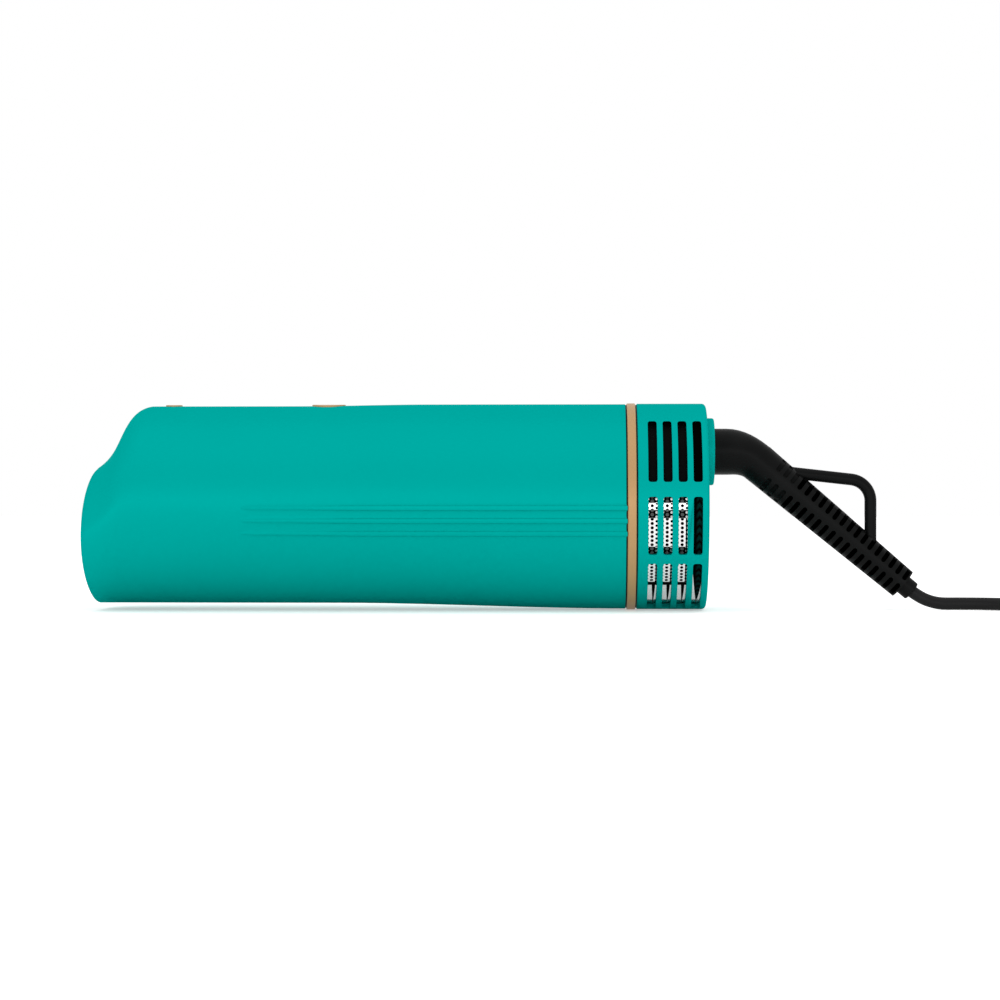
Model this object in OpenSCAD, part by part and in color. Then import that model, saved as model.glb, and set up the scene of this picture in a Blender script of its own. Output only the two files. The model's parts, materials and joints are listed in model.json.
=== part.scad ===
// Hand-held tubular pet dryer: a lofted barrel with an oval mouth, a slotted intake cap,
// an in-line fan, motor and heater, two push buttons, and an elbowed cord boot with a
// hanging loop. The mains cord lies on the bench and ends in a coil and a two-pin plug.
// Pieces are drawn with X running back from the mouth and Z up from the barrel's axis;
// placed() then sets the dryer on the bench, centred over the origin.

/* [Barrel] */
// Length of the barrel from the mouth to the rear seam
barrel_len = 223.2; // [215:0.1:235]
// Diameter of the barrel at the rear seam
rear_d = 86; // [85.2:0.1:88]
// How much narrower the barrel is behind the mouth
front_step = 2.9; // [2:0.1:4]
// Height of the front section's centre over the rear section's axis
front_rise = 0.77; // [0.3:0.01:1]
// Wall of the barrel
wall = 2.4; // [1.8:0.1:2.6]
// Length over which the oval mouth grows into the round barrel
nose_len = 23.6; // [16:0.1:24]
// Drop of the mouth's top edge below the top of the barrel
nose_drop = 26; // [18:0.1:28]
// How much narrower the mouth is than the barrel behind it
mouth_step = 5.1; // [3:0.1:6]
// How far the mouth's top edge lies behind its sides
rim_back_top = 0.9; // [0:0.1:1.5]
// How far the mouth's bottom edge lies behind its sides
rim_back_low = 1.1; // [0:0.1:1.5]
// Rounding of the mouth's rim
rim_r = 0.6; // [0.3:0.1:0.9]
// Where the top line starts to swell
top_flare_start = 86; // [70:1:100]
// Length of the top line's swell
top_flare_len = 54; // [40:1:80]
// Where the bottom line starts to swell
bottom_flare_start = 103; // [90:1:120]

/* [Grip ribs] */
// Number of ribs on each side
rib_count = 3; // [1:1:3]
// Angle of the highest rib's crest from the horizontal
rib_first_deg = -0.8; // [-4:0.1:4]
// Angle from one rib to the next
rib_pitch_deg = 7; // [6:0.1:9]
// Height of a rib's crest
rib_h = 0.8; // [0.4:0.05:1.2]
// Width of a rib over its skirts
rib_w = 3.9; // [3:0.1:4.2]
// Width of a rib's crest
rib_crest_w = 1.6; // [0.8:0.1:2]
// Distance from the mouth to the ribs' tips
rib_start = 66; // [50:1:80]
// Length of a rib's leaf-shaped tip
rib_tip_len = 9; // [6:1:20]
// Length over which the crest reaches its full height
rib_rise_len = 45; // [25:1:60]
// Reach of the ribs' ends into the seam
rib_overhang = 0.5; // [0:0.05:0.5]

/* [Trim ring and rear cap] */
// How much wider the trim ring is than the barrel
ring_step = 0.8; // [0.2:0.1:2]
// Width of the trim ring
ring_w = 3.6; // [2.5:0.1:5]
// Open seam on each side of the trim ring
seam = 0.6; // [0.6:0.05:1]
// How much wider the rear cap is than the barrel
cap_step = 0.4; // [0:0.1:0.6]
// How far the black seals lie below the barrel in the seams
seal_inset = 0.3; // [0.2:0.05:0.8]
// Length of the rear cap
cap_len = 28.9; // [28:0.1:32]
// Wall of the rear cap
cap_wall = 2.2; // [1.8:0.1:2.4]
// Rounding of the rear cap's back edge
cap_edge_r = 1.6; // [0.6:0.1:2]
// Number of slot columns along the cap
slot_cols = 4; // [2:1:4]
// Width of a slot along the cap
slot_w = 3.75; // [3:0.05:4]
// Distance from one slot column to the next
slot_pitch = 6.1; // [5.5:0.05:6.2]
// Distance from the cap's front edge to the first slot's centre
slot_inset = 6; // [5:0.1:6.2]
// Corner radius of a slot
slot_corner_r = 1; // [0.3:0.05:1.4]

/* [Cord boot] */
// Diameter of the boss on the rear cap
boss_d = 28.2; // [26:0.1:30]
// How far the boss stands proud
boss_proud = 3.6; // [2.5:0.1:5]
// Distance from the boss to the cap's top edge
boss_inset = 6.1; // [5.7:0.1:7.9]
// Diameter of the boot at the boss
boot_base_d = 19.4; // [18:0.1:20]
// Diameter of the boot after the bend
boot_mid_d = 16.4; // [15:0.1:17]
// Diameter of the boot at its tip
boot_tip_d = 13.1; // [12:0.1:14]
// Straight run of the boot before the bend
boot_lead = 5.4; // [4:0.1:8]
// Bend of the boot
boot_angle = 40; // [38:0.5:40]
// Radius of the boot's bend
boot_bend_r = 21; // [19:0.5:22]
// Straight run of the boot after the bend
boot_run = 78.7; // [76:0.1:78.7]
// Number of slots along the boot
boot_slots = 19; // [12:1:19]
// How many of these are shallow
blind_slots = 3; // [0:1:4]
// Distance from the bend to the first slot
boot_slot_start = 7.7; // [6:0.1:7.7]
// Distance from one boot slot to the next
boot_slot_pitch = 3.85; // [3.6:0.05:3.85]
// Width of a boot slot
boot_slot_w = 2; // [1.5:0.05:2.3]
// Width of the spine between the two rows of slots, after the bend and at the tip
boot_spine_w = 4.4; // [3:0.1:5]
boot_spine_tip_w = 2.2; // [1.5:0.1:3]
// Width of the rails along the boot's top and bottom, where the slots end
boot_rail_w = 2.6; // [1.5:0.1:4]
// Depth of a shallow slot
blind_depth = 0.6; // [0.3:0.05:1]
// Diameter of the rod that the hanging loop is bent from
loop_rod_d = 5; // [4:0.1:5]
// Radius of the hanging loop's corner
loop_corner_r = 9; // [7:0.5:12]
// Diameter of the sheath that ends the boot
sheath_d = 8.2; // [7.5:0.1:9]
// Length of the sheath beyond the boot
sheath_len = 5.1; // [4:0.1:5.5]

/* [Buttons] */
// Distance from the mouth to the large button's centre
power_x = 98.2; // [90:0.1:105]
// Diameter of the large button
power_d = 14.1; // [12:0.1:15]
// Distance from the mouth to the small button's centre
mode_x = 32.4; // [31.5:0.1:45]
// Diameter of the small button
mode_d = 7; // [6:0.1:8]
// How far the buttons stand proud
button_proud = 0.55; // [0.52:0.01:1]
// Gap round a button
button_gap = 0.3; // [0.25:0.05:0.6]

/* [Inside] */
// Height of the air duct's axis over the barrel's axis
duct_rise = -4; // [-5:0.1:-3.5]
// How much narrower the air duct is than the barrel
duct_step = 25; // [24:0.5:27]
// Wall of the air duct
duct_wall = 2.2; // [1.4:0.1:2.6]
// Diameter of the motor
motor_d = 32; // [28:0.5:34]
// Length of the motor
motor_len = 42; // [40:0.5:44]
// Diameter of the motor shaft
shaft_d = 4; // [3:0.5:5]
// Diameter of the ball bearings
bearing_d = 13; // [11:0.5:14]
// Width of the ball bearings
bearing_w = 5; // [4:0.5:5]
// Number of fan blades
blade_count = 9; // [5:1:11]
// Gap between the blade tips and the duct
tip_gap = 0.8; // [0.5:0.1:1.2]
// Number of turns of the heating wire
heater_turns = 7; // [4:1:8]
// Diameter of the coiled heating wire
heater_wire_d = 2.2; // [1.6:0.1:2.4]
// Clearance between fitted pieces
fit = 0.3; // [0.2:0.05:0.4]
// Running clearance of the shaft in its bearings
run_fit = 0.05; // [0.02:0.01:0.1]

/* [Cord] */
// Diameter of the mains cord
cord_d = 5.3; // [4.8:0.1:5.4]
// Turns in the coil
coil_turns = 8.25; // [6.25:1:8.25]
// Radius of the coil's widest turn
coil_r = 44.1; // [43:0.1:50]
// Open space between neighbouring turns
coil_gap = 0.42; // [0.42:0.01:0.8]
// Thickness of the coil's tie
tie_t = 0.8; // [0.5:0.1:0.8]
// Width of the coil's tie
tie_w = 8; // [5:0.5:14]
// Diameter of a plug pin
pin_d = 4; // [3.5:0.1:4.8]
// Length of a plug pin
pin_len = 19; // [17:0.1:20]
// Distance between the plug pins' centres
pin_spacing = 19; // [17.5:0.1:19.5]

/* [Hidden] */
$fn = 64;

// Colours
shell_teal = [0, 0.67, 0.63];
trim_gold = [0.76, 0.6, 0.42];
moulded_black = [0.09, 0.09, 0.1];
rubber_black = [0.13, 0.13, 0.14];
steel = [0.75, 0.76, 0.78];
copper = [0.72, 0.43, 0.25];
board_green = [0.08, 0.32, 0.2];
mica = [0.78, 0.72, 0.6];

eps = 0.01;

// Diameters that follow from the barrel's
front_d = rear_d - front_step;
mouth_w = front_d - mouth_step;
ring_d = rear_d + ring_step;
cap_d = rear_d + cap_step;
duct_d = rear_d - duct_step;
boss_rise = cap_d / 2 - boss_d / 2 - boss_inset;

// Stations along the barrel's axis
ring_x = barrel_len + seam;
cap_x = ring_x + ring_w + seam;
cap_end = cap_x + cap_len;
boss_end = cap_end + boss_proud;
floor_z = -ring_d / 2;

// Slot rows on each side, as angles from the horizontal: lower edge, upper edge, direction of the cut
slot_rows = [[13.4, 54.4, 0], [-27.1, 5.3, -11], [-82, -32.7, -57]];

// Coupling sleeve under the seam, and what lies inside the cap
sleeve_r = rear_d / 2 - wall - fit - 0.1;
sleeve_wall = 2;
sleeve_lap = 9.6;
sleeve_reach = 1.4;
filter_reach = 21.2;
sleeve_x = barrel_len - sleeve_lap;
sleeve_end = cap_x + sleeve_reach;
liner_r = cap_d / 2 - cap_wall - fit - 0.1;
liner_t = 0.8;
liner_x = sleeve_end + fit;
liner_end = cap_x + filter_reach;
mesh_half_deg = 99;
liner_split_deg = 0.6;

// Boot centreline: vertex of the bend and points along the straight run
boot_tangent = boot_bend_r * tan(boot_angle / 2);
bend_x = boss_end + boot_lead;
vertex = [bend_x + boot_tangent, 0, boss_rise];
boot_dir = [cos(boot_angle), 0, -sin(boot_angle)];
function boot_pt(s) = vertex + (boot_tangent + s) * boot_dir;
function boot_r(s) = (boot_mid_d + (boot_tip_d - boot_mid_d) * s / boot_run) / 2;
function boot_spine(s) = boot_spine_w + (boot_spine_tip_w - boot_spine_w) * s / boot_run;
boot_end = boot_pt(boot_run);
sheath_end = boot_pt(boot_run + sheath_len);
core_d = 7.6;
// How much wider the boot's straight runs are than the bend that they swallow
sleeve_step = 0.1;

// The dryer's length over the mouth and the sheath, and the middle of it
total_len = max(
    sheath_end[0] + sheath_d / 2 * sin(boot_angle),
    boot_end[0] + boot_tip_d / 2 * sin(boot_angle)
);
mid_x = total_len / 2;

// ---- Shared functions ----

function lerp(a, b, t) = a + (b - a) * t;
function smooth(t) = let (u = max(0, min(1, t))) u * u * (3 - 2 * u);
function bezier(s, a, b, c, d) =
    a * pow(1 - s, 3) + 3 * b * s * pow(1 - s, 2) + 3 * c * s * s * (1 - s) + d * pow(s, 3);
function unit(v) = v / norm(v);

// A solid from rings of points: each ring has as many points, and runs the same way round
module loft(rings) {
    n = len(rings[0]);
    last = len(rings) - 1;
    points = concat(
        [for (ring = rings) each ring],
        [mean(rings[0]), mean(rings[last])]
    );
    start = (last + 1) * n;
    faces = [
        for (i = [0:last - 1]) for (j = [0:n - 1])
            let (a = i * n + j, b = i * n + (j + 1) % n)
            each [[a, a + n, b + n], [a, b + n, b]],
        for (j = [0:n - 1]) [start, j, (j + 1) % n],
        for (j = [0:n - 1]) [start + 1, last * n + (j + 1) % n, last * n + j]
    ];
    polyhedron(points, faces, convexity = 6);
}

function mean(ring) = [for (k = [0:2]) sum([for (p = ring) p[k]]) / len(ring)];
function sum(v, i = 0) = i < len(v) ? v[i] + sum(v, i + 1) : 0;

// Rings of a tube along a path; dirs are the tangents, and up fixes the roll
function tube_rings(path, dirs, radii, sides, turn = 0, up = [0, 0, 1]) = [
    for (i = [0:len(path) - 1])
        let (t = unit(dirs[i]), u = unit(cross(up, t)), v = cross(t, u))
        [for (j = [0:sides - 1])
            let (a = 360 * j / sides + turn)
            path[i] + radii[i] * (cos(a) * u + sin(a) * v)]
];
function path_dirs(path) = let (last = len(path) - 1) [
    for (i = [0:last]) path[min(last, i + 1)] - path[max(0, i - 1)]
];
function same(value, path) = [for (p = path) value];

// Length of a path, and the least distance between points more than half a turn apart
function path_len(path, i = 0) =
    i < len(path) - 1 ? norm(path[i + 1] - path[i]) + path_len(path, i + 1) : 0;
function self_gap(path, per_turn, d) = min([
    for (i = [0:len(path) - 1])
        for (j = [i + per_turn / 2:1:len(path) - 1]) norm(path[i] - path[j])
]) - d;

module placed() translate([-mid_x, 0, -floor_z]) children();

// Turns a piece drawn along Z to lie along X, with its own X axis pointing down
module along_x(x, z = 0) translate([x, 0, z]) rotate([0, 90, 0]) children();
module rod(x0, x1, d, y = 0, z = 0) translate([0, y, 0]) along_x(x0, z) cylinder(d = d, h = x1 - x0);
module pipe(x0, x1, outer_d, inner_d, z = 0) difference() {
    rod(x0, x1, outer_d, 0, z);
    rod(x0 - 1, x1 + 1, inner_d, 0, z);
}

// ---- Barrel ----

function top_r(x) = lerp(front_d / 2 + front_rise, rear_d / 2,
    smooth((x - top_flare_start) / top_flare_len));
function bottom_r(x) = lerp(front_d / 2 - front_rise, rear_d / 2,
    smooth((x - bottom_flare_start) / (barrel_len - bottom_flare_start)));
function mid_r(x) = (top_r(x) + bottom_r(x)) / 2;
function mid_z(x) = (top_r(x) - bottom_r(x)) / 2;

// The nose's top line as a curve of s: how far back, and the share of the drop that is left
function nose_t(s) = bezier(s, 0, 0.63, 0.44, 1);
function nose_left(s) = bezier(s, 1, 0.65, 0.08, 0);

// A section: station, half width, height of the centre, half height
function section(x, left, grown, inset) =
    let (
        top = top_r(x) - nose_drop * left,
        half_w = lerp(mouth_w / 2, mid_r(x), grown)
    )
    [x, half_w - inset, (top - bottom_r(x)) / 2, (top + bottom_r(x)) / 2 - inset];

function nose_section(s, inset, shift = 0) =
    section(nose_t(s) * nose_len + shift, nose_left(s), 1 - pow(1 - nose_t(s), 2), inset);

// How far a point of the nose lies behind the mouth's sides: none where the nose ends
function rim_back(x, a) = max(0, 1 - x / nose_len)
    * (a < 180 ? rim_back_top : rim_back_low) * pow(sin(a), 2);

nose_steps = 8;
barrel_steps = [
    28, 46, rib_start, rib_start + 0.7, rib_start + 2, rib_start + 4.5, rib_start + rib_tip_len,
    for (k = [0:13]) lerp(rib_start + 14, barrel_len, k / 13)
];

// Ribs run level: each crest keeps the height that its angle gives it at the barrel's end
rib_flank = 0.45;
rib_foot = rib_crest_w / 2 + rib_flank;
rib_mm = [-rib_w / 2, -rib_foot, -rib_crest_w / 2, 0, rib_crest_w / 2, rib_foot, rib_w / 2];
function rib_z(i) = rear_d / 2 * sin(rib_first_deg - i * rib_pitch_deg);
function rib_deg(i, x) = asin((rib_z(i) - mid_z(x)) / mid_r(x));
function mm_deg(mm) = mm / (rear_d / 2) * 180 / PI;

// Angles round the barrel at which a section is drawn, close together on the ribs
top_steps = 22;
bottom_steps = 18;
function angles(x) = let (
    right_side = [for (i = [rib_count - 1:-1:0]) for (mm = rib_mm) rib_deg(i, x) + mm_deg(mm)],
    left_side = [for (k = [len(right_side) - 1:-1:0]) 180 - right_side[k]],
    top_end = right_side[len(right_side) - 1]
) concat(
    right_side,
    [for (k = [1:top_steps - 1]) lerp(top_end, 180 - top_end, k / top_steps)],
    left_side,
    [for (k = [1:bottom_steps - 1]) lerp(180 - right_side[0], 360 + right_side[0], k / bottom_steps)]
);

// A rib is a low tent with a crest on it; opened widens both from the tip, and grown squares the crest
function rib_profile(mm, opened, grown) =
    let (m = abs(mm) / opened, edge = rib_crest_w / 2 * lerp(0.25, 1, grown))
    opened * (0.3 * max(0, 1 - m / (rib_w / 2))
        + 0.7 * lerp(0.55, 1, grown) * (1 - smooth((m - edge) / (rib_foot - edge))));
function rib_shape(x, a, opened, grown) =
    max([for (i = [0:rib_count - 1]) for (c = [rib_deg(i, x), 180 - rib_deg(i, x)])
        let (off = a - c, turned = off > 180 ? off - 360 : off)
        rib_profile(turned / mm_deg(1), opened, grown)]);
function rib_lift(x, a) = x <= rib_start ? 0 :
    let (tip = min(1, (x - rib_start) / rib_tip_len))
    rib_h * rib_shape(x, a, sqrt(tip * (2 - tip)), smooth((x - rib_start - rib_tip_len) / rib_rise_len));

function outer_ring(sec, overhang = 0) = [
    for (a = angles(max(sec[0], rib_start)))
        let (add = rib_lift(sec[0], a))
        [sec[0] + rim_back(sec[0], a) + overhang * add / rib_h,
            (sec[1] + add) * cos(a), sec[2] + (sec[3] + add) * sin(a)]
];
// The barrel's flat end face starts this far inside its surface
end_step = 0.05;
function flat_ring(sec) = [for (a = angles(sec[0])) [sec[0], sec[1] * cos(a), sec[2] + sec[3] * sin(a)]];
bore_sides = 60;
bore_steps = 10;
function bore_ring(sec, x = undef) = [
    for (j = [0:bore_sides - 1])
        let (a = 360 * j / bore_sides)
        [is_undef(x) ? sec[0] + rim_back(sec[0], a) : x, sec[1] * cos(a), sec[2] + sec[3] * sin(a)]
];

module main_shell() color(shell_teal) difference() {
    loft([
        outer_ring(nose_section(0, rim_r)),
        for (k = [0:nose_steps])
            let (sec = nose_section(k / nose_steps, 0))
            outer_ring(k == 0 ? [rim_r, sec[1], sec[2], sec[3]] : sec),
        for (x = barrel_steps) outer_ring(section(x, 0, 1, 0), x == barrel_len ? rib_overhang : 0),
        flat_ring(section(barrel_len, 0, 1, end_step))
    ]);
    loft([
        bore_ring(nose_section(0, wall), -1),
        for (k = [0:2:nose_steps]) bore_ring(nose_section(k / nose_steps, wall, wall)),
        for (k = [1:bore_steps - 1])
            bore_ring(section(lerp(nose_len, barrel_len, k / bore_steps), 0, 1, wall)),
        bore_ring(section(barrel_len, 0, 1, wall), barrel_len + 2)
    ]);
    button_hole(power_x, power_d);
    button_hole(mode_x, mode_d);
}

module button_hole(x, d) translate([x, 0, rear_d / 4]) cylinder(d = d + 2 * button_gap, h = rear_d / 2);

// ---- Trim ring, rear cap and what they cover ----

module turned(points) rotate([0, 90, 0]) rotate_extrude() polygon(points);
function arc_points(c, r, a0, a1, steps) = [
    for (k = [0:steps]) let (a = lerp(a0, a1, k / steps)) c + r * [cos(a), sin(a)]
];

ring_edge = 0.4;
module trim_ring() color(trim_gold) translate([ring_x, 0, 0]) turned([
    [sleeve_r + fit, 0], [ring_d / 2 - ring_edge, 0], [ring_d / 2, ring_edge],
    [ring_d / 2, ring_w - ring_edge], [ring_d / 2 - ring_edge, ring_w], [sleeve_r + fit, ring_w]
]);

// A rectangle with rounded corners, each drawn with a few straight steps
module rounded(w, h, r, steps = 3) polygon([
    for (k = [0:3])
        let (side = [k == 0 || k == 3 ? 1 : -1, k < 2 ? 1 : -1])
        each arc_points([side[0] * (w / 2 - r), side[1] * (h / 2 - r)], r, 90 * k, 90 * k + 90, steps)
]);

// A cut through the cap's wall from one angle to another, made in the direction of a third
module slot(x, from_deg, to_deg, cut_deg) {
    low = cap_d / 2 * sin(from_deg - cut_deg);
    high = cap_d / 2 * sin(to_deg - cut_deg);
    translate([x, 0, 0]) rotate([90 - cut_deg, 0, 0]) translate([0, (low + high) / 2, cap_d / 6])
        linear_extrude(cap_d / 2) rounded(slot_w, high - low, slot_corner_r);
}

post_y = 17;
post_d = 6;
post_len = 9;
screw_d = 2.4;
module rear_cap() color(shell_teal) difference() {
    union() {
        difference() {
            translate([cap_x, 0, 0]) turned(concat(
                [[0, cap_len], [0, cap_len - cap_wall], [cap_d / 2 - cap_wall, cap_len - cap_wall],
                    [cap_d / 2 - cap_wall, 0], [cap_d / 2 - 0.3, 0], [cap_d / 2, 0.3]],
                arc_points([cap_d / 2 - cap_edge_r, cap_len - cap_edge_r], cap_edge_r, 0, 90, 6)
            ));
            for (col = [0:slot_cols - 1], row = slot_rows, side = [0, 1])
                mirror([0, side, 0]) slot(cap_x + slot_inset + col * slot_pitch, row[0], row[1], row[2]);
        }
        for (side = [-1, 1])
            rod(cap_end - cap_wall - post_len, cap_end - cap_wall + eps, post_d, side * post_y, boss_rise);
    }
    rod(cap_end - cap_wall - 1, cap_end + 1, spigot_d + 2 * fit, 0, boss_rise);
    for (side = [-1, 1])
        rod(cap_end - cap_wall - post_len - 1, cap_end - cap_wall - 1, screw_d + 0.1, side * post_y,
            boss_rise);
}

spigot_d = 23.4;
flange_d = 25;
flange_t = 2.4;
boss_edge_r = 0.8;
module cord_boss() color(shell_teal) translate([0, 0, boss_rise]) difference() {
    union() {
        translate([cap_end, 0, 0]) turned(concat(
            [[0, 0], [boss_d / 2, 0]],
            arc_points([boss_d / 2 - boss_edge_r, boss_proud - boss_edge_r], boss_edge_r, 0, 90, 4),
            [[0, boss_proud]]
        ));
        rod(cap_end - cap_wall, cap_end + eps, spigot_d);
    }
    rod(cap_end - cap_wall - 1, boss_end + 1, boot_base_d + 2 * fit);
}

// A seal fills a seam to just below the barrel's surface
seal_fit = 0.1;
module seal(from_x, to_x)
    pipe(from_x + seal_fit, to_x - seal_fit, rear_d - 2 * seal_inset, 2 * (sleeve_r - sleeve_wall / 2));

module coupling_sleeve() color(moulded_black) {
    pipe(sleeve_x, sleeve_end, 2 * sleeve_r, 2 * (sleeve_r - sleeve_wall));
    seal(barrel_len, ring_x);
    seal(ring_x + ring_w, cap_x);
}

module arc_shell(from_deg, to_deg) along_x(liner_x) rotate([0, 0, from_deg])
    rotate_extrude(angle = to_deg - from_deg)
        translate([liner_r - liner_t, 0]) square([liner_t, liner_end - liner_x]);

module filter_mesh() color(steel) arc_shell(-mesh_half_deg, mesh_half_deg);
module upper_liner() color(moulded_black)
    arc_shell(mesh_half_deg + liner_split_deg, 360 - mesh_half_deg - liner_split_deg);

frame_wall = 1.2;
module filter_frame() color(moulded_black)
    pipe(liner_end + fit, cap_end - cap_wall, 2 * liner_r, 2 * (liner_r - frame_wall));

// ---- Air path ----

duct_end = 215.7;
duct_x = 122.3;
duct_r = duct_d / 2;
duct_bore_r = duct_r - duct_wall;
bell_t = 6;
lead_y = 4;
lead_z = boss_rise + 7;
lead_d = 2.2;

module lead_holes(x0, x1) for (side = [-1, 1]) rod(x0, x1, lead_d + 2 * fit, side * lead_y, lead_z);

module inlet_bell() color(moulded_black) {
    r = sleeve_r - sleeve_wall - fit;
    lip = 4;
    difference() {
        rod(duct_end + fit, duct_end + fit + bell_t, 2 * r);
        translate([duct_end + fit, 0, duct_rise]) turned(concat(
            [[0, -1], [duct_bore_r, -1]],
            [for (k = [0:6]) let (a = 90 * k / 6)
                [duct_bore_r + lip * (1 - cos(a)), bell_t - lip + lip * sin(a)]],
            [[duct_bore_r + lip, bell_t + 1], [0, bell_t + 1]]
        ));
        lead_holes(duct_end - 1, duct_end + fit + bell_t + 1);
    }
}

hub_wall = 2;
hub_bore_r = motor_d / 2 + fit;
motor_x = 136;
motor_end = motor_x + motor_len;
vane_count = 9;
vane_t = 1.6;
module motor_duct() color(moulded_black) translate([0, 0, duct_rise]) {
    pipe(duct_x, duct_end, duct_d, 2 * duct_bore_r);
    pipe(motor_x, motor_end, 2 * (hub_bore_r + hub_wall), 2 * hub_bore_r);
    for (k = [0:vane_count - 1]) rotate([360 * k / vane_count, 0, 0])
        translate([motor_x + 8, -vane_t / 2, hub_bore_r + hub_wall - 0.4])
            cube([motor_len - 10, vane_t, duct_bore_r - hub_bore_r - hub_wall + 0.8]);
}

// A rubber ring that seats the duct in the barrel
module mount_ring(x, w) color(rubber_black) difference() {
    r = min(mid_r(x), mid_r(x + w)) - wall - fit;
    rod(x, x + w, 2 * r, 0, mid_z(x + w / 2));
    rod(x - 1, x + w + 1, duct_d + 2 * fit, 0, duct_rise);
    lead_holes(x - 1, x + w + 1);
}
mount_w = 6;
front_mount_x = 118;
rear_mount_x = 204;
module front_mount_ring() mount_ring(front_mount_x, mount_w);
module rear_mount_ring() mount_ring(rear_mount_x, mount_w);

can_wall = 1;
bearing_inset = 1.5;
module motor_can() color(steel) translate([0, 0, duct_rise]) difference() {
    rod(motor_x, motor_end, motor_d);
    rod(motor_x + bearing_inset + bearing_w + 1, motor_end - bearing_inset - bearing_w - 1,
        motor_d - 2 * can_wall);
    rod(motor_x + bearing_inset, motor_end - bearing_inset, bearing_d + 0.1);
    rod(motor_x - 1, motor_end + 1, shaft_d + 2);
}

core_len = 20;
core_x = motor_x + (motor_len - core_len) / 2;
core_r = 9;
air_gap = 0.5;
module stator_stack() color(copper) translate([0, 0, duct_rise])
    pipe(core_x, core_x + core_len, motor_d - 2 * can_wall - 0.2, 2 * (core_r + air_gap));

module bearing(x) color(steel) pipe(x, x + bearing_w, bearing_d, shaft_d + 2 * run_fit, duct_rise);
module front_bearing() bearing(motor_x + bearing_inset + 0.1);
module rear_bearing() bearing(motor_end - bearing_inset - bearing_w - 0.1);

fan_x = 186;
fan_len = 17;
hub_r = 11;
module motor_shaft() color(steel) rod(motor_x - 4, fan_x + fan_len - 3, shaft_d, 0, duct_rise);
module rotor_core() color(copper)
    pipe(core_x, core_x + core_len, 2 * core_r, shaft_d + 0.1, duct_rise);

// Twisted blades: each is lofted from chord sections that turn from root to tip
blade_steps = 4;
blade_chord = 15;
blade_t = 1.4;
root_pitch = 38;
tip_pitch = 62;
function blade_ring(r, pitch) = [
    for (p = [[-0.5, 0], [-0.2, -0.5], [0.25, -0.45], [0.5, 0], [0.25, 0.45], [-0.2, 0.5]])
        let (
            along = p[0] * blade_chord, thick = p[1] * blade_t,
            x = along * cos(pitch) - thick * sin(pitch),
            y = along * sin(pitch) + thick * cos(pitch),
            a = y / r * 180 / PI
        )
        [x, r * sin(a), r * cos(a)]
];
module impeller() color(moulded_black) translate([fan_x, 0, duct_rise]) difference() {
    union() {
        rod(1, fan_len - 5, 2 * hub_r);
        translate([fan_len - 5, 0, 0]) turned(concat([[0, 0]],
            arc_points([0, 0], hub_r, 0, 90, 6)));
        for (k = [0:blade_count - 1]) rotate([360 * k / blade_count, 0, 0])
            translate([fan_len / 2 - 2, 0, 0]) loft([
                for (i = [0:blade_steps])
                    let (t = i / blade_steps)
                    blade_ring(lerp(hub_r - 1, duct_bore_r - tip_gap, t), lerp(root_pitch, tip_pitch, t))
            ]);
    }
    rod(-10, fan_len - 3, shaft_d + 0.1);
}

// ---- Heater and outlet ----

heater_x = 36;
heater_end = 122;
board_x = 46;
board_len = 70;
board_t = 0.8;
tab_len = 6;
heater_bore_r = duct_r - 1;
winding_gap = 4.7;
winding_r = duct_r - winding_gap;
board_r = winding_r - heater_wire_d / 2 - fit;
winding_len = board_len - 2 * tab_len - 4;

module heater_sleeve() color(mica) pipe(heater_x, heater_end, duct_d, 2 * heater_bore_r, duct_rise);

module heater_boards() color(mica) translate([board_x, 0, duct_rise]) for (turn = [0, 90])
    rotate([turn, 0, 0]) {
        translate([0, -board_r, -board_t / 2]) cube([board_len, 2 * board_r, board_t]);
        for (x = [0, board_len - tab_len]) translate([x, -(heater_bore_r - fit), -board_t / 2])
            cube([tab_len, 2 * (heater_bore_r - fit), board_t]);
    }

winding_rings = 24;
winding_path = [
    for (k = [0:heater_turns * winding_rings])
        let (a = 360 * k / winding_rings)
        [board_x + tab_len + 2 + winding_len * k / (heater_turns * winding_rings),
            winding_r * cos(a), duct_rise + winding_r * sin(a)]
];
module heater_winding() color(steel) loft(tube_rings(winding_path, path_dirs(winding_path),
    same(heater_wire_d / 2, winding_path), 6, 30, [1, 0, 0]));

module thermostat() color(steel) translate([board_x + 30, 12, duct_rise + board_t / 2 + 0.1]) {
    cylinder(d = 9, h = 3);
    translate([-8, -2, 0]) cube([16, 4, 1]);
}

grille_x = 33;
grille_t = 2.4;
grille_r = duct_r + fit - 0.3;
grille_bar = 1.2;
grille_rings = [[1, 1.5 * grille_bar], [0.78, grille_bar], [0.54, grille_bar], [0.3, grille_bar]];
module outlet_grille() color(moulded_black) along_x(grille_x, duct_rise) linear_extrude(grille_t) {
    for (ring = grille_rings) difference() {
        circle(r = grille_r * ring[0]);
        circle(r = grille_r * ring[0] - ring[1]);
    }
    for (k = [0:5]) rotate(60 * k + 30)
        translate([grille_r * 0.3 - grille_bar / 2, -grille_bar / 2])
            square([grille_r * 0.7 - grille_bar / 4, grille_bar]);
}

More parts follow.
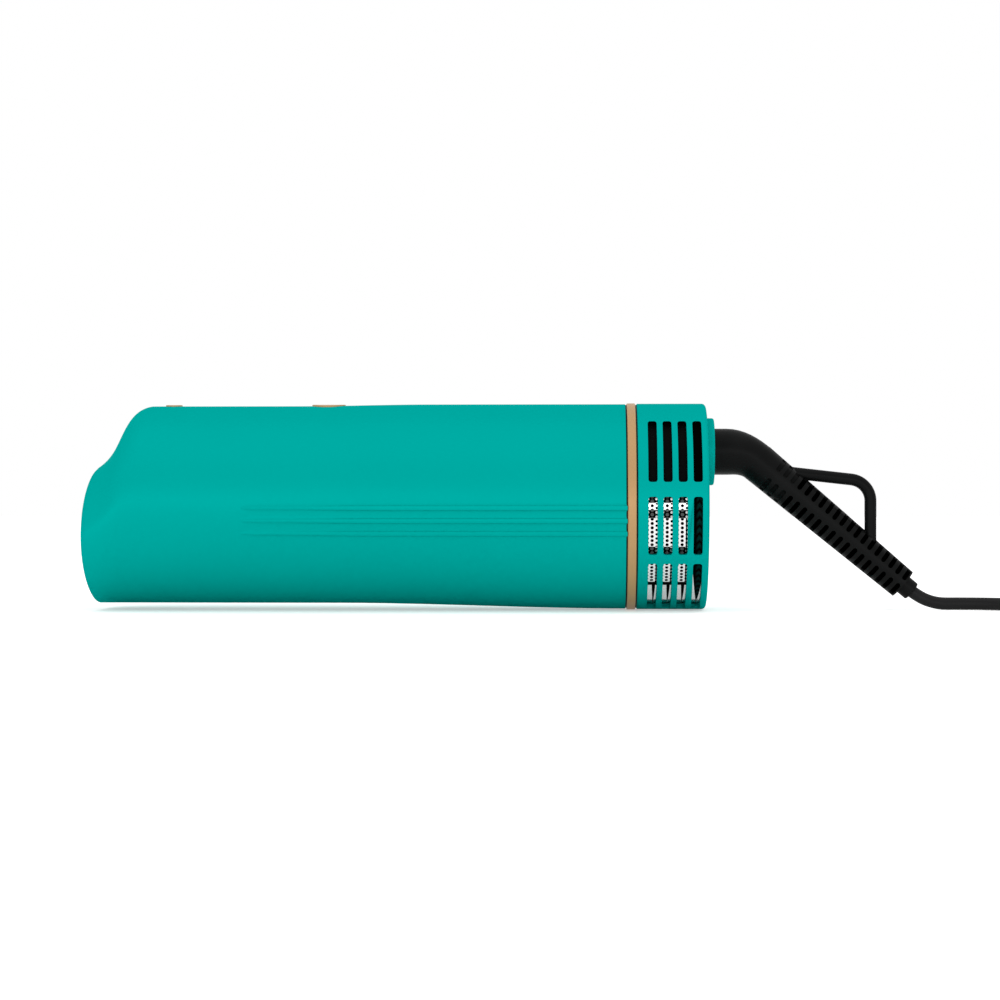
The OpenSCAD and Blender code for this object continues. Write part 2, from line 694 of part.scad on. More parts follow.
// A duct that grows from the oval mouth to the round heater sleeve
nozzle_wall = 1.2;
nozzle_x = 2.2;
nozzle_end = 40;
nozzle_round = 30;
function nozzle_ring(x, inset) =
    let (
        t = smooth((x - nozzle_x) / (nozzle_round - nozzle_x)),
        gap = wall + fit + 0.1,
        half_w = lerp(mouth_w / 2 - gap, duct_r + fit + nozzle_wall, t) - inset,
        half_h = lerp((top_r(0) - nose_drop + bottom_r(0)) / 2 - gap, duct_r + fit + nozzle_wall, t)
            - inset,
        z = lerp((top_r(0) - nose_drop - bottom_r(0)) / 2, duct_rise, t)
    )
    [for (j = [0:43]) let (a = 360 * j / 44) [x, half_w * cos(a), z + half_h * sin(a)]];
module nozzle_duct() color(moulded_black) difference() {
    loft([for (x = [nozzle_x, 7, 13, 19, 25, nozzle_round, nozzle_end]) nozzle_ring(x, 0)]);
    loft([
        [for (p = nozzle_ring(nozzle_x, nozzle_wall)) [p[0] - 1, p[1], p[2]]],
        for (x = [7, 13, 19, 24, nozzle_round - 2]) nozzle_ring(x, nozzle_wall),
        nozzle_ring(nozzle_end + 1, nozzle_wall)
    ]);
}

// ---- Buttons and boards ----

pcb_t = 1.6;
pcb_z = duct_rise + duct_r + fit + nozzle_wall + fit;
control_z = duct_rise + duct_r + fit;
switch_h = 4.2;
plunger_d = 3.2;
button_travel = 0.5;
flange_reach = 1.15;
button_flange_t = 1.1;

function inner_z(x, y) = mid_z(x) + sqrt(pow(mid_r(x) - wall, 2) - y * y);
function flange_z(x, d) = inner_z(x, d / 2 + flange_reach) - fit - 0.1;

switch_pcb_x = 26;
switch_pcb_w = 14;
module switch_board() color(board_green) translate([switch_pcb_x, -switch_pcb_w / 2, pcb_z])
    cube([front_mount_x - fit - switch_pcb_x, switch_pcb_w, pcb_t]);

module switch_bodies() color(moulded_black) for (x = [mode_x, power_x]) translate([x, 0, pcb_z + pcb_t])
    difference() {
        translate([-4, -4, 0]) cube([8, 8, switch_h]);
        translate([0, 0, 0.4]) cylinder(d = plunger_d + 2 * fit, h = switch_h);
    }

// A button's top is rounded across, as the barrel is
module button(x, d) color(trim_gold) {
    top = top_r(x) + button_proud;
    low = flange_z(x, d) - button_flange_t;
    translate([x, 0, low]) cylinder(d = d + 2 * flange_reach, h = button_flange_t);
    intersection() {
        translate([x, 0, low]) cylinder(d = d, h = top + 1 - low);
        rod(x - d, x + d, 2 * (mid_r(x) + button_proud), 0, mid_z(x));
    }
}
module plunger(x, d) color(moulded_black) translate([x, 0, pcb_z + pcb_t + 1.2])
    cylinder(d = plunger_d, h = flange_z(x, d) - button_flange_t - (pcb_z + pcb_t + 1.2));

module power_button() button(power_x, power_d);
module power_plunger() plunger(power_x, power_d);
module mode_button() button(mode_x, mode_d);
module mode_plunger() plunger(mode_x, mode_d);

control_w = 32;
terminal = [8, 14, 4.6];
relay = [14, 9, 5];
triac = [20, 8, 6];
parts_inset = 12;
capacitor_d = 7;
capacitor_h = 6;
capacitor_inset = 46;
module control_board() color(board_green) {
    x0 = front_mount_x + mount_w + fit;
    x1 = rear_mount_x - fit;
    translate([x0, -control_w / 2, control_z]) cube([x1 - x0, control_w, pcb_t]);
    translate([x1 - terminal[0], -terminal[1] / 2, control_z + pcb_t]) cube(terminal);
    translate([x0 + parts_inset, -relay[1] - 2, control_z + pcb_t]) cube(relay);
    translate([x0 + parts_inset, 3, control_z + pcb_t]) cube(triac);
    for (side = [-1, 1]) translate([x0 + capacitor_inset, side * capacitor_d, control_z + pcb_t])
        cylinder(d = capacitor_d, h = capacitor_h);
}

// ---- Cord entry ----

clamp_t = 2.5;
clamp_x = cap_end - cap_wall - post_len - clamp_t;
module cord_clamp() color(moulded_black) difference() {
    translate([clamp_x, -20, boss_rise - 5]) cube([clamp_t, 40, 10]);
    rod(clamp_x - 1, clamp_x + clamp_t + 1, cord_d + 0.2, 0, boss_rise);
    for (side = [-1, 1])
        rod(clamp_x - 1, clamp_x + clamp_t + 1, screw_d + 0.3, side * post_y, boss_rise);
}
module clamp_screws() color(steel) for (side = [-1, 1]) {
    rod(clamp_x - 1.8, clamp_x, 5, side * post_y, boss_rise);
    rod(clamp_x - eps, clamp_x + clamp_t + post_len - 2, screw_d, side * post_y, boss_rise);
}

tail_x = 237;
module cord_tail() color(rubber_black)
    rod(tail_x, cap_end - cap_wall - fit - flange_t, cord_d, 0, boss_rise);

module power_leads() color(rubber_black) for (side = [-1, 1]) {
    path = [
        [tail_x, side * 1.25, boss_rise], [tail_x - 2, side * 1.3, boss_rise + 0.4],
        [tail_x - 5, side * 2.4, boss_rise + 3], [tail_x - 8, side * 3.6, lead_z - 1],
        [tail_x - 11, side * lead_y, lead_z], [rear_mount_x - fit, side * lead_y, lead_z]
    ];
    dirs = concat([[-1, 0, 0]], [for (i = [1:4]) path[i + 1] - path[i - 1]], [[-1, 0, 0]]);
    loft(tube_rings(path, dirs, same(lead_d / 2, path), 10));
}

elbow_steps = 8;
elbow_path = concat(
    [[boss_end - 1, 0, boss_rise]],
    [for (k = [0:elbow_steps])
        let (a = boot_angle * k / elbow_steps)
        [bend_x + boot_bend_r * sin(a), 0, boss_rise - boot_bend_r * (1 - cos(a))]]
);
elbow_dirs = concat(
    [[1, 0, 0]],
    [for (k = [0:elbow_steps]) let (a = boot_angle * k / elbow_steps) [cos(a), 0, -sin(a)]]
);
elbow_radii = concat(
    [boot_base_d / 2],
    [for (k = [0:elbow_steps]) lerp(boot_base_d, boot_mid_d, smooth(k / elbow_steps)) / 2]
);

// The boot's straight run, drawn along X from the end of the bend
module on_run() translate(boot_pt(0)) rotate([0, boot_angle, 0]) children();

// A slot from the spine to the rail: one cut each side of the boot, above or below
module boot_slot(s, keep_d, up) difference() {
    translate([s, 0, up * boot_spine(s) / 2]) rotate([90, 0, 0])
        linear_extrude(2 * boot_base_d, center = true) {
            translate([0, up * boot_slot_w / 2]) circle(d = boot_slot_w, $fn = 24);
            translate([-boot_slot_w / 2, up > 0 ? boot_slot_w / 2 : -boot_base_d])
                square([boot_slot_w, boot_base_d - boot_slot_w / 2]);
        }
    rod(s - boot_slot_w, s + boot_slot_w, keep_d);
    translate([s - boot_slot_w, -boot_rail_w / 2, -boot_base_d])
        cube([2 * boot_slot_w, boot_rail_w, 2 * boot_base_d]);
}

// The hanging loop's rod, in the boot's plane: a run back, a corner, and a leg down
loop_tilt = 6.4;
loop_start = vertex + [14.6, 0, -8.3];
loop_leg_x = vertex[0] + 52.7;
loop_turn = 90 - loop_tilt;
loop_vertex = [loop_leg_x, 0, loop_start[2] - (loop_leg_x - loop_start[0]) * tan(loop_tilt)];
loop_tangent = loop_corner_r * tan(loop_turn / 2);
loop_foot_z = boss_rise - (loop_leg_x - vertex[0]) * tan(boot_angle);
module hanging_loop() {
    run = (loop_leg_x - loop_start[0]) / cos(loop_tilt) - loop_tangent;
    translate(loop_start) rotate([0, loop_tilt, 0]) {
        rod(0, run, loop_rod_d);
        translate([run, 0, -loop_corner_r]) rotate([90, 0, 0]) rotate([0, 0, 90 - loop_turn])
            rotate_extrude(angle = loop_turn) translate([loop_corner_r, 0]) circle(d = loop_rod_d);
    }
    translate([loop_leg_x, 0, loop_foot_z])
        cylinder(d = loop_rod_d, h = loop_vertex[2] - loop_tangent - loop_foot_z);
}

module cord_boot() color(rubber_black) {
    difference() {
        union() {
            rod(cap_end - cap_wall - fit - flange_t, cap_end - cap_wall - fit, flange_d, 0, boss_rise);
            rod(cap_end - cap_wall - fit - eps, boss_end - 0.5, boot_base_d + sleeve_step, 0, boss_rise);
            loft(tube_rings(elbow_path, elbow_dirs, elbow_radii, 32));
            on_run() along_x(-1) cylinder(d1 = boot_mid_d + 2 * sleeve_step, d2 = boot_tip_d, h = boot_run + 1);
        }
        on_run() for (k = [0:boot_slots - 1], up = [-1, 1])
            let (s = boot_slot_start + k * boot_slot_pitch)
            boot_slot(s, k < blind_slots ? 2 * (boot_r(s) - blind_depth) : core_d, up);
    }
    hanging_loop();
}

module cord_sheath() color(rubber_black) on_run() rod(boot_run, boot_run + sheath_len, sheath_d);

// ---- Mains cord ----

// Route from the sheath to the coil, on the bench, in the placed frame
cord_r = cord_d / 2;
cord_start = sheath_end + [-mid_x, 0, -floor_z];
cord_route = concat([cord_start], [
    [173, 0, 5.95], [175.7, 0, 4.5], [178.5, 0, 3.5], [181.4, 0, 2.87], [184.5, 0, 2.65],
    [189.8, 0, 2.65], [195.9, -0.6, 2.65], [201.8, -2.3, 2.65], [207.2, -5.2, 2.65],
    [212, -9, 2.65], [216, -13.6, 2.65], [218.9, -18.7, 2.65], [223.2, -25.8, 2.7],
    [228.9, -32.2, 2.9], [235.7, -37.4, 3.2], [243.4, -41.2, 3.5], [251.6, -43.5, 3.65],
    [260, -44.1, 3.65]
]);
coil_centre = [260, 0, 3.65];
coil_pitch = cord_d + coil_gap;
leg_turns = coil_turns / 2;
loop_rings = 24;

// The coil spirals in, climbs a layer in the half turn round its tightest point, and spirals out
function coil_point(turn) =
    let (
        radius = coil_r - coil_pitch * min(turn, coil_turns - turn),
        rise = max(0, min(1, (turn - leg_turns) * 2 + 0.5)),
        a = 360 * turn - 90
    )
    coil_centre + [radius * cos(a), radius * sin(a), coil_pitch * rise];
coil_path = [for (k = [0:coil_turns * loop_rings]) coil_point(k / loop_rings)];
coil_last = len(coil_path) - 1;
coil_dirs = [for (k = [0:coil_last])
    k == 0 ? [1, 0, 0] : k == coil_last ? [0, 1, 0] : coil_path[k + 1] - coil_path[k - 1]];
echo(coil_self_gap = self_gap(coil_path, loop_rings, cord_d));
echo(winding_self_gap = self_gap(winding_path, winding_rings, heater_wire_d));

lead_end = 30;
plug_lead_path = [for (y = [0, 10, 20, lead_end]) coil_path[coil_last] + [0, y, 0]];
echo(cord_length = path_len(cord_route) + path_len(coil_path) + path_len(plug_lead_path));

module cord() color(rubber_black) loft(tube_rings(cord_route,
    concat([boot_dir], [for (i = [1:len(cord_route) - 2]) cord_route[i + 1] - cord_route[i - 1]],
        [[1, 0, 0]]),
    same(cord_r, cord_route), 10));
module cord_coil() color(rubber_black)
    loft(tube_rings(coil_path, coil_dirs, same(cord_r, coil_path), 6));
module plug_lead() color(rubber_black)
    loft(tube_rings(plug_lead_path, same([0, 1, 0], plug_lead_path), same(cord_r, plug_lead_path), 10));

tie_deg = 135;
module coil_tie() color(moulded_black) {
    inner_r = coil_r - coil_pitch * leg_turns;
    bundle_w = coil_r - inner_r + cord_d + 2 * fit;
    bundle_h = coil_pitch + cord_d + 0.4;
    translate([coil_centre[0], coil_centre[1], bundle_h / 2 + tie_t]) rotate([0, 0, tie_deg])
        translate([(coil_r + inner_r) / 2, 0, 0]) rotate([90, 0, 0])
            linear_extrude(tie_w, center = true) difference() {
                rounded(bundle_w + 2 * tie_t, bundle_h + 2 * tie_t, 2.4);
                rounded(bundle_w, bundle_h, 1.6);
            }
}

// Plug, with its pins pointing along Y
plug_foot = plug_lead_path[3];
relief_len = 14;
plug_len = 34;
plug_w = 36;
plug_neck_w = 17;
module plug_body() color(rubber_black) translate(plug_foot) {
    h = 2 * plug_foot[2];
    rotate([-90, 0, 0]) cylinder(d1 = cord_d + 2.4, d2 = 12, h = relief_len);
    hull() {
        translate([0, relief_len, 0]) rotate([-90, 0, 0]) plug_face(plug_neck_w, 13, 2);
        translate([0, relief_len + plug_len / 2, 0]) rotate([-90, 0, 0]) plug_face(plug_w - 6, h - 1, 1);
        translate([0, relief_len + plug_len - 8, 0]) rotate([-90, 0, 0]) plug_face(plug_w, h, 8);
    }
}
module plug_face(w, h, t) linear_extrude(t) polygon([
    [-w / 2, 0], [-w / 2 + h * 0.3, -h / 2], [w / 2 - h * 0.3, -h / 2],
    [w / 2, 0], [w / 2 - h * 0.3, h / 2], [-w / 2 + h * 0.3, h / 2]
]);
module plug_pins() color(steel) for (side = [-1, 1])
    translate(plug_foot + [side * pin_spacing / 2, relief_len + plug_len, 0]) rotate([-90, 0, 0])
        cylinder(d = pin_d, h = pin_len);

placed() main_shell();
placed() trim_ring();
placed() rear_cap();
placed() cord_boss();
placed() coupling_sleeve();
placed() filter_mesh();
placed() upper_liner();
placed() filter_frame();
placed() inlet_bell();
placed() motor_duct();
placed() front_mount_ring();
placed() rear_mount_ring();
placed() motor_can();
placed() stator_stack();
placed() front_bearing();
placed() rear_bearing();
placed() motor_shaft();
placed() rotor_core();
placed() impeller();
placed() heater_sleeve();
placed() heater_boards();
placed() heater_winding();
placed() thermostat();
placed() outlet_grille();
placed() nozzle_duct();
placed() switch_board();
placed() switch_bodies();
placed() power_button();
placed() power_plunger();
placed() mode_button();
placed() mode_plunger();
placed() control_board();
placed() cord_clamp();
placed() clamp_screws();
placed() power_leads();
placed() cord_tail();
placed() cord_boot();
placed() cord_sheath();
cord();
cord_coil();
plug_lead();
coil_tie();
plug_body();
plug_pins();
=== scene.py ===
import json
import math
import bmesh
import bpy
import numpy as np
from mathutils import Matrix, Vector


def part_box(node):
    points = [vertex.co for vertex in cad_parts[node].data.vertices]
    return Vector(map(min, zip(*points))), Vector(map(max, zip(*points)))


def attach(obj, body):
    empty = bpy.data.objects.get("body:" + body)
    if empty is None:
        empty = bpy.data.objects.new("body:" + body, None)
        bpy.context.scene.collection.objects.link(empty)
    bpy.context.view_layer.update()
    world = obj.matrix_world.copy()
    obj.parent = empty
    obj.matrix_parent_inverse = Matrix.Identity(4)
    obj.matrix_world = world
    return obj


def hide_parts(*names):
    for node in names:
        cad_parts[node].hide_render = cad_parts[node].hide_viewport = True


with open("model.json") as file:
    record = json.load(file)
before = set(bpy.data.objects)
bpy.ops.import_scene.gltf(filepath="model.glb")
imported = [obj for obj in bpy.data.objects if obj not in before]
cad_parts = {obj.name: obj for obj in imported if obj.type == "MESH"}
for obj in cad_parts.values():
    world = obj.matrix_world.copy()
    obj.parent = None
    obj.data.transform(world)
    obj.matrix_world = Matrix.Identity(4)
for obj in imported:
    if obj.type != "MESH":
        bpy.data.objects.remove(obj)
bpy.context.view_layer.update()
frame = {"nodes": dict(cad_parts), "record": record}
mm = 0.001
print("dryer: frame loaded,", len(frame["nodes"]), "nodes")

# where the barrel lies: x counts back from the mouth, z up from the rear axis, both in mm
place = dict(mouthX=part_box("main_shell")[0].x, axisZ=0.0434, ductDrop=4.0)


def toFrame(points):  # barrel millimetres to row-frame metres
    return np.asarray(points, float) * mm + np.array([place["mouthX"], 0, place["axisZ"]])


# camera, first, because the cord has to suit it
view = dict(fromMouth=207.24, distance=1083.5, above=2.69, turnDeg=1.94, lens=92.45)
camera = bpy.data.objects.new("camera", bpy.data.cameras.new("camera"))
camera.data.sensor_fit, camera.data.sensor_width = "HORIZONTAL", 36
camera.data.lens, camera.data.clip_start, camera.data.clip_end = view["lens"], 0.05, 30
camera.location = toFrame([view["fromMouth"], -view["distance"], view["above"]])
camera.rotation_euler = (math.pi / 2, 0, math.radians(view["turnDeg"]))
bpy.context.scene.collection.objects.link(camera)
bpy.context.scene.camera = camera

# the way out of the boss: a lead, a bend and a straight run, whose two straights meet in bendVertex
outlet = dict(bossEnd=260.5, lead=5.4, rise=23.0, bendRadius=21, bendDeg=40, run=78.7, sheath=5.1)
bend = math.radians(outlet["bendDeg"])
bendReach = outlet["bendRadius"] * math.tan(bend / 2)
bendVertex = np.array([outlet["bossEnd"] + outlet["lead"] + bendReach, 0, outlet["rise"]])
slopeOut = np.array([math.cos(bend), 0, -math.sin(bend)])


# number work on whole arrays
def smooth(t):
    u = np.clip(t, 0, 1)
    return u * u * (3 - 2 * u)


def mix(a, b, t):
    return a + (b - a) * t


def bezier(s, a, b, c, d):
    return a * (1 - s) ** 3 + 3 * b * s * (1 - s) ** 2 + 3 * c * s * s * (1 - s) + d * s ** 3


def unit(v):
    return v / np.linalg.norm(v, axis=-1, keepdims=True)


def arc(centre, radius, fromDeg, toDeg, count):  # centre + radius * (cos a, sin a), with a evenly spaced
    a = np.radians(np.linspace(fromDeg, toDeg, count))
    return np.array(centre) + radius * np.stack([np.cos(a), np.sin(a)], -1)


def alongOf(points):  # running length at each point of a path
    step = np.linalg.norm(np.diff(points, axis=0), axis=1)
    return np.concatenate([[0], np.cumsum(step)])


def throughPoints(points, parts):
    # a Catmull-Rom curve: each gap is a cubic, and the slope at a point is half the step between its neighbours
    before = np.vstack([2 * points[:1] - points[1:2], points[:-2]])
    after = np.vstack([points[2:], 2 * points[-1:] - points[-2:-1]])
    t = np.linspace(0, 1, parts, endpoint=False)[None, :, None]
    p0, p1, p2, p3 = (v[:, None, :] for v in (before, points[:-1], points[1:], after))
    square, cube = 2 * p0 - 5 * p1 + 4 * p2 - p3, 3 * p1 - p0 - 3 * p2 + p3
    curve = 0.5 * (2 * p1 + (p2 - p0) * t + square * t ** 2 + cube * t ** 3)
    return np.vstack([curve.reshape(-1, 3), points[-1:]])


# meshes from grids
mergeGap = dict(grid=2e-7, node=2e-6, sliver=1e-6)  # metres


def shadeSmooth(piece, sharpDeg):  # smooth, but for edges that turn by more than an angle
    piece.data.shade_smooth()
    piece.data.set_sharp_from_angle(angle=math.radians(sharpDeg))


def finishMesh(piece, sharpDeg):
    work = bmesh.new()
    work.from_mesh(piece.data)
    bmesh.ops.remove_doubles(work, verts=work.verts, dist=mergeGap["grid"])
    bmesh.ops.recalc_face_normals(work, faces=work.faces)
    work.to_mesh(piece.data)
    work.free()
    shadeSmooth(piece, sharpDeg)


def makeSurface(name, grid, closeRows=False, capEnds=False, sharpDeg=35, uvSize=None):
    # a mesh over rows of points, each row a closed ring; closeRows joins the last row to the first
    rows, cols = grid.shape[:2]
    index = np.arange(rows * cols).reshape(rows, cols)
    index = np.hstack([index, index[:, :1]])
    if closeRows:
        index = np.vstack([index, index[:1]])
    quads = np.stack([index[:-1, :-1], index[:-1, 1:], index[1:, 1:], index[1:, :-1]], -1)
    faces = quads.reshape(-1, 4).tolist()
    if capEnds:
        faces += [index[0, :-1][::-1].tolist(), index[-1, :-1].tolist()]
    mesh = bpy.data.meshes.new(name)
    mesh.from_pydata(grid.reshape(-1, 3).tolist(), [], faces)
    if uvSize is not None:  # u runs with the rows and v round the columns, in metres
        high, wide = quads.shape[:2]
        r, c = np.meshgrid(np.arange(high), np.arange(wide), indexing="ij")
        corner = np.stack([np.stack([r + a, c + b], -1) for a, b in ((0, 0), (0, 1), (1, 1), (1, 0))], 2)
        uv = np.zeros((len(mesh.loops), 2))
        uv[:high * wide * 4] = (corner / [high, wide] * uvSize).reshape(-1, 2)
        mesh.uv_layers.new(name="along").data.foreach_set("uv", uv.ravel())
    piece = bpy.data.objects.new(name, mesh)
    bpy.context.scene.collection.objects.link(piece)
    finishMesh(piece, sharpDeg)
    return piece


def revolve(profile, sides, centre=(0, 0), along="x"):  # (distance, radius) pairs turned round an axis
    turn = np.linspace(0, 2 * math.pi, sides, endpoint=False)[None, :]
    run, radius = np.asarray(profile)[:, :1] + 0 * turn, np.asarray(profile)[:, 1:]
    a, b = centre[0] + radius * np.cos(turn), centre[1] + radius * np.sin(turn)
    order = {"x": (run, a, b), "y": (a, run, b), "z": (a, b, run)}[along]
    return np.stack(order, -1)


def sweep(path, radii, sides, ends=(None, None)):  # circles square to a path, with no roll about it
    slope = np.gradient(path, axis=0)
    slope[0] = slope[0] if ends[0] is None else ends[0]
    slope[-1] = slope[-1] if ends[1] is None else ends[1]
    forward = unit(slope)
    aside = unit(np.cross([0, 0, 1.0], forward))
    over = np.cross(forward, aside)
    turn = np.linspace(0, 2 * math.pi, sides, endpoint=False)[None, :, None]
    reach = np.broadcast_to(radii, len(path))[:, None, None]
    return path[:, None] + reach * (np.cos(turn) * aside[:, None] + np.sin(turn) * over[:, None])


def copyOfNode(node, name, sharpDeg):
    # a merged, smooth-shaded copy of a CAD node's own shape, split where more than two faces share an edge
    piece = bpy.data.objects.new(name, frame["nodes"][node].data.copy())
    bpy.context.scene.collection.objects.link(piece)
    work = bmesh.new()
    work.from_mesh(piece.data)
    bmesh.ops.remove_doubles(work, verts=work.verts, dist=mergeGap["node"])
    bmesh.ops.dissolve_degenerate(work, edges=work.edges, dist=mergeGap["sliver"])
    bmesh.ops.split_edges(work, edges=[edge for edge in work.edges if len(edge.link_faces) > 2])
    work.to_mesh(piece.data)
    work.free()
    shadeSmooth(piece, sharpDeg)
    return piece


def readMesh(items, key, width=3):  # one value or one vector of each vertex, corner or face
    values = np.empty(len(items) * width, int if width == 1 else float)
    items.foreach_get(key, values)
    return values if width == 1 else values.reshape(-1, width)


def roundNormals(piece, *tubes, facingLeast=0.9, skin=0.15):
    # within skin of a tube's radius, a corner's normal points away from the nearest point of the tube's line and
    # leans forward as the radius shrinks, unless the corner's face looks another way; tubes are (path, radii) in
    # barrel millimetres
    mesh = piece.data
    corners = readMesh(mesh.loops, "vertex_index", 1)
    points = (readMesh(mesh.vertices, "co") - toFrame([0, 0, 0])) / mm
    normals = readMesh(mesh.corner_normals, "vector")
    facing = np.repeat(readMesh(mesh.polygons, "normal"), readMesh(mesh.polygons, "loop_total", 1), axis=0)
    for path, radii in tubes:
        step = np.gradient(path, axis=0)
        tangent, taper = unit(step), -np.gradient(radii) / np.linalg.norm(step, axis=1)
        near = ((points ** 2).sum(1)[:, None] - 2 * points @ path.T + (path ** 2).sum(1)).argmin(1)
        offset = points - path[near]
        outward = offset - (offset * tangent[near]).sum(1)[:, None] * tangent[near]
        away = np.linalg.norm(outward, axis=1)
        lean = unit(outward / np.maximum(away, 1e-6)[:, None] + taper[near][:, None] * tangent[near])[corners]
        onSkin = (abs(away - radii[near])[corners] < skin) & ((lean * facing).sum(1) > facingLeast)
        normals = np.where(onSkin[:, None], lean, normals)
    mesh.normals_split_custom_set(normals.tolist())


def settle(piece, finish, body, slot, *nodes):  # finish, body, material slot (not used) and the nodes it stands for
    piece.data.materials.clear()
    piece.data.materials.append(finish)
    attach(piece, body)
    if nodes:
        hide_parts(*nodes)
    return piece


# shader maths
class Value:
    def __init__(self, maker, socket):
        self.maker, self.socket = maker, socket

    def maths(self, operation, *values):
        return self.maker.node("Math", dict(operation=operation), values)

    def __add__(self, other):
        return self.maths("ADD", self, other)

    def __sub__(self, other):
        return self.maths("SUBTRACT", self, other)

    def __rsub__(self, other):
        return self.maths("SUBTRACT", other, self)

    def __mul__(self, other):
        return self.maths("MULTIPLY", self, other)

    def __truediv__(self, other):
        return self.maths("DIVIDE", self, other)

    def __pow__(self, other):
        return self.maths("POWER", self, other)

    def __abs__(self):
        return self.maths("ABSOLUTE", self)

    def __mod__(self, other):
        return self.maths("FLOORED_MODULO", self, other)

    def __lt__(self, other):
        return self.maths("LESS_THAN", self, other)

    def __gt__(self, other):
        return self.maths("GREATER_THAN", self, other)

    def ramp(self, low, high):  # 0 below low, 1 above high, straight between them
        return self.maker.node("MapRange", {}, [self, low, high, 0.0, 1.0])

    def larger(self, other):
        return self.maths("MAXIMUM", self, other)

    __rmul__ = __mul__


class Shader:
    def __init__(self, tree):
        self.tree = tree

    def node(self, kind, settings=None, values=(), out=0):
        item = self.tree.nodes.new("ShaderNode" + kind)
        for key, value in (settings or {}).items():
            setattr(item, key, value)
        for key, value in (values.items() if isinstance(values, dict) else enumerate(values)):
            self.plug(item.inputs[key], value)
        return Value(self, item.outputs[out]) if item.outputs else None

    def plug(self, socket, value):
        if isinstance(value, Value):
            self.tree.links.new(value.socket, socket)
        elif value is not None:
            socket.default_value = (*value, 1) if socket.type == "RGBA" and len(value) == 3 else value

    def raysOf(self, *kinds):  # 1 for a ray of any of these kinds
        outputs = self.node("LightPath").socket.node.outputs
        first, *others = (Value(self, outputs[f"Is {kind} Ray"]) for kind in kinds)
        for other in others:
            first = first.larger(other)
        return first


class Finish(Shader):
    def __init__(self, name, **sockets):
        self.material = bpy.data.materials.new(name)
        self.material.use_nodes = True
        super().__init__(self.material.node_tree)
        self.shader = next(n for n in self.tree.nodes if n.type == "BSDF_PRINCIPLED")
        self.set(**sockets)

    def set(self, **sockets):  # baseColor=... sets the shader's Base Color
        for key, value in sockets.items():
            words = "".join(" " + c if c.isupper() else c for c in key).title()
            words = {"Ior": "IOR", "Coat Ior": "Coat IOR", "Specular Level": "Specular IOR Level"}.get(words, words)
            self.plug(self.shader.inputs[words], value)

    def place(self, kind="Object"):
        return self.node("TexCoord", out=kind)

    def split(self, vector):
        item = self.node("SeparateXYZ", {}, [vector])
        return [Value(self, o) for o in item.socket.node.outputs]

    def noise(self, scale, detail, where=None):
        inputs = {"Vector": where or self.place(), "Scale": scale, "Detail": detail}
        return self.node("TexNoise", {}, inputs)

    def colours(self, factor, low, high):
        blend = self.node("Mix", dict(data_type="RGBA"), {"Factor": factor}, 2)
        item = blend.socket.node
        for socket, value in zip([s for s in item.inputs if s.type == "RGBA"], (low, high)):
            self.plug(socket, value)
        return blend

    def bump(self, height, strength, distance, under=None):
        return self.node("Bump", {}, {"Height": height, "Strength": strength, "Distance": distance, "Normal": under})


def shade(colour, amount):
    return tuple(c * amount for c in colour)


def plainFinish(name, colour, roughness, grainSize, grainDepth, vary=0.12, **more):
    # an even moulded or cast surface: cloudy colour and gloss, and a fine grain in its bump
    finish = Finish(name, **more)
    cloud = finish.noise(45, 3)
    finish.set(
        baseColor=finish.colours(cloud, shade(colour, 1 - vary), shade(colour, 1 + vary)),
        roughness=finish.noise(160, 2) * 0.12 + (roughness - 0.06),
        normal=finish.bump(finish.noise(1 / (grainSize * mm), 2), 0.35, grainDepth * mm),
    )
    return finish.material


def lacquerFinish():
    look = dict(colour=(0.0, 0.36, 0.325), warm=(0.0, 0.372, 0.334), orangePeel=1.1, roughness=0.36)
    finish = Finish("tealLacquer", metallic=0.15, specularLevel=0.0, specularTint=(0.05, 1.0, 0.95))
    cloud = finish.noise(22, 2)
    speck = finish.noise(2600, 1)
    finish.set(
        baseColor=finish.colours(cloud, look["colour"], look["warm"]),
        roughness=finish.noise(120, 3) * 0.08 + speck * 0.05 + (look["roughness"] - 0.065),
        normal=finish.bump(finish.noise(1 / (look["orangePeel"] * mm), 2), 0.06, 0.00004),
    )
    return finish.material


def goldFinish():
    look = dict(colour=(0.475, 0.28, 0.118), roughness=0.42, flake=0.16)
    finish = Finish("champagneGold", metallic=0.3, specularLevel=0.35)
    flakes = finish.noise(1 / (look["flake"] * mm), 1)
    finish.set(
        baseColor=finish.colours(flakes, shade(look["colour"], 0.93), shade(look["colour"], 1.07)),
        roughness=finish.noise(300, 2) * 0.1 + (look["roughness"] - 0.05),
        normal=finish.bump(flakes, 0.1, 0.00002),
    )
    return finish.material


def rubberFinish(name, colour, roughness):
    finish = Finish(name, specularLevel=0.1)
    dust = finish.noise(70, 4) ** 3.0
    grain = finish.noise(1900, 2)
    finish.set(
        baseColor=finish.colours(dust, shade(colour, 0.85), shade(colour, 1.9)),
        roughness=finish.noise(240, 3) * 0.16 + (roughness - 0.08),
        normal=finish.bump(grain, 0.22, 0.00003),
    )
    return finish.material


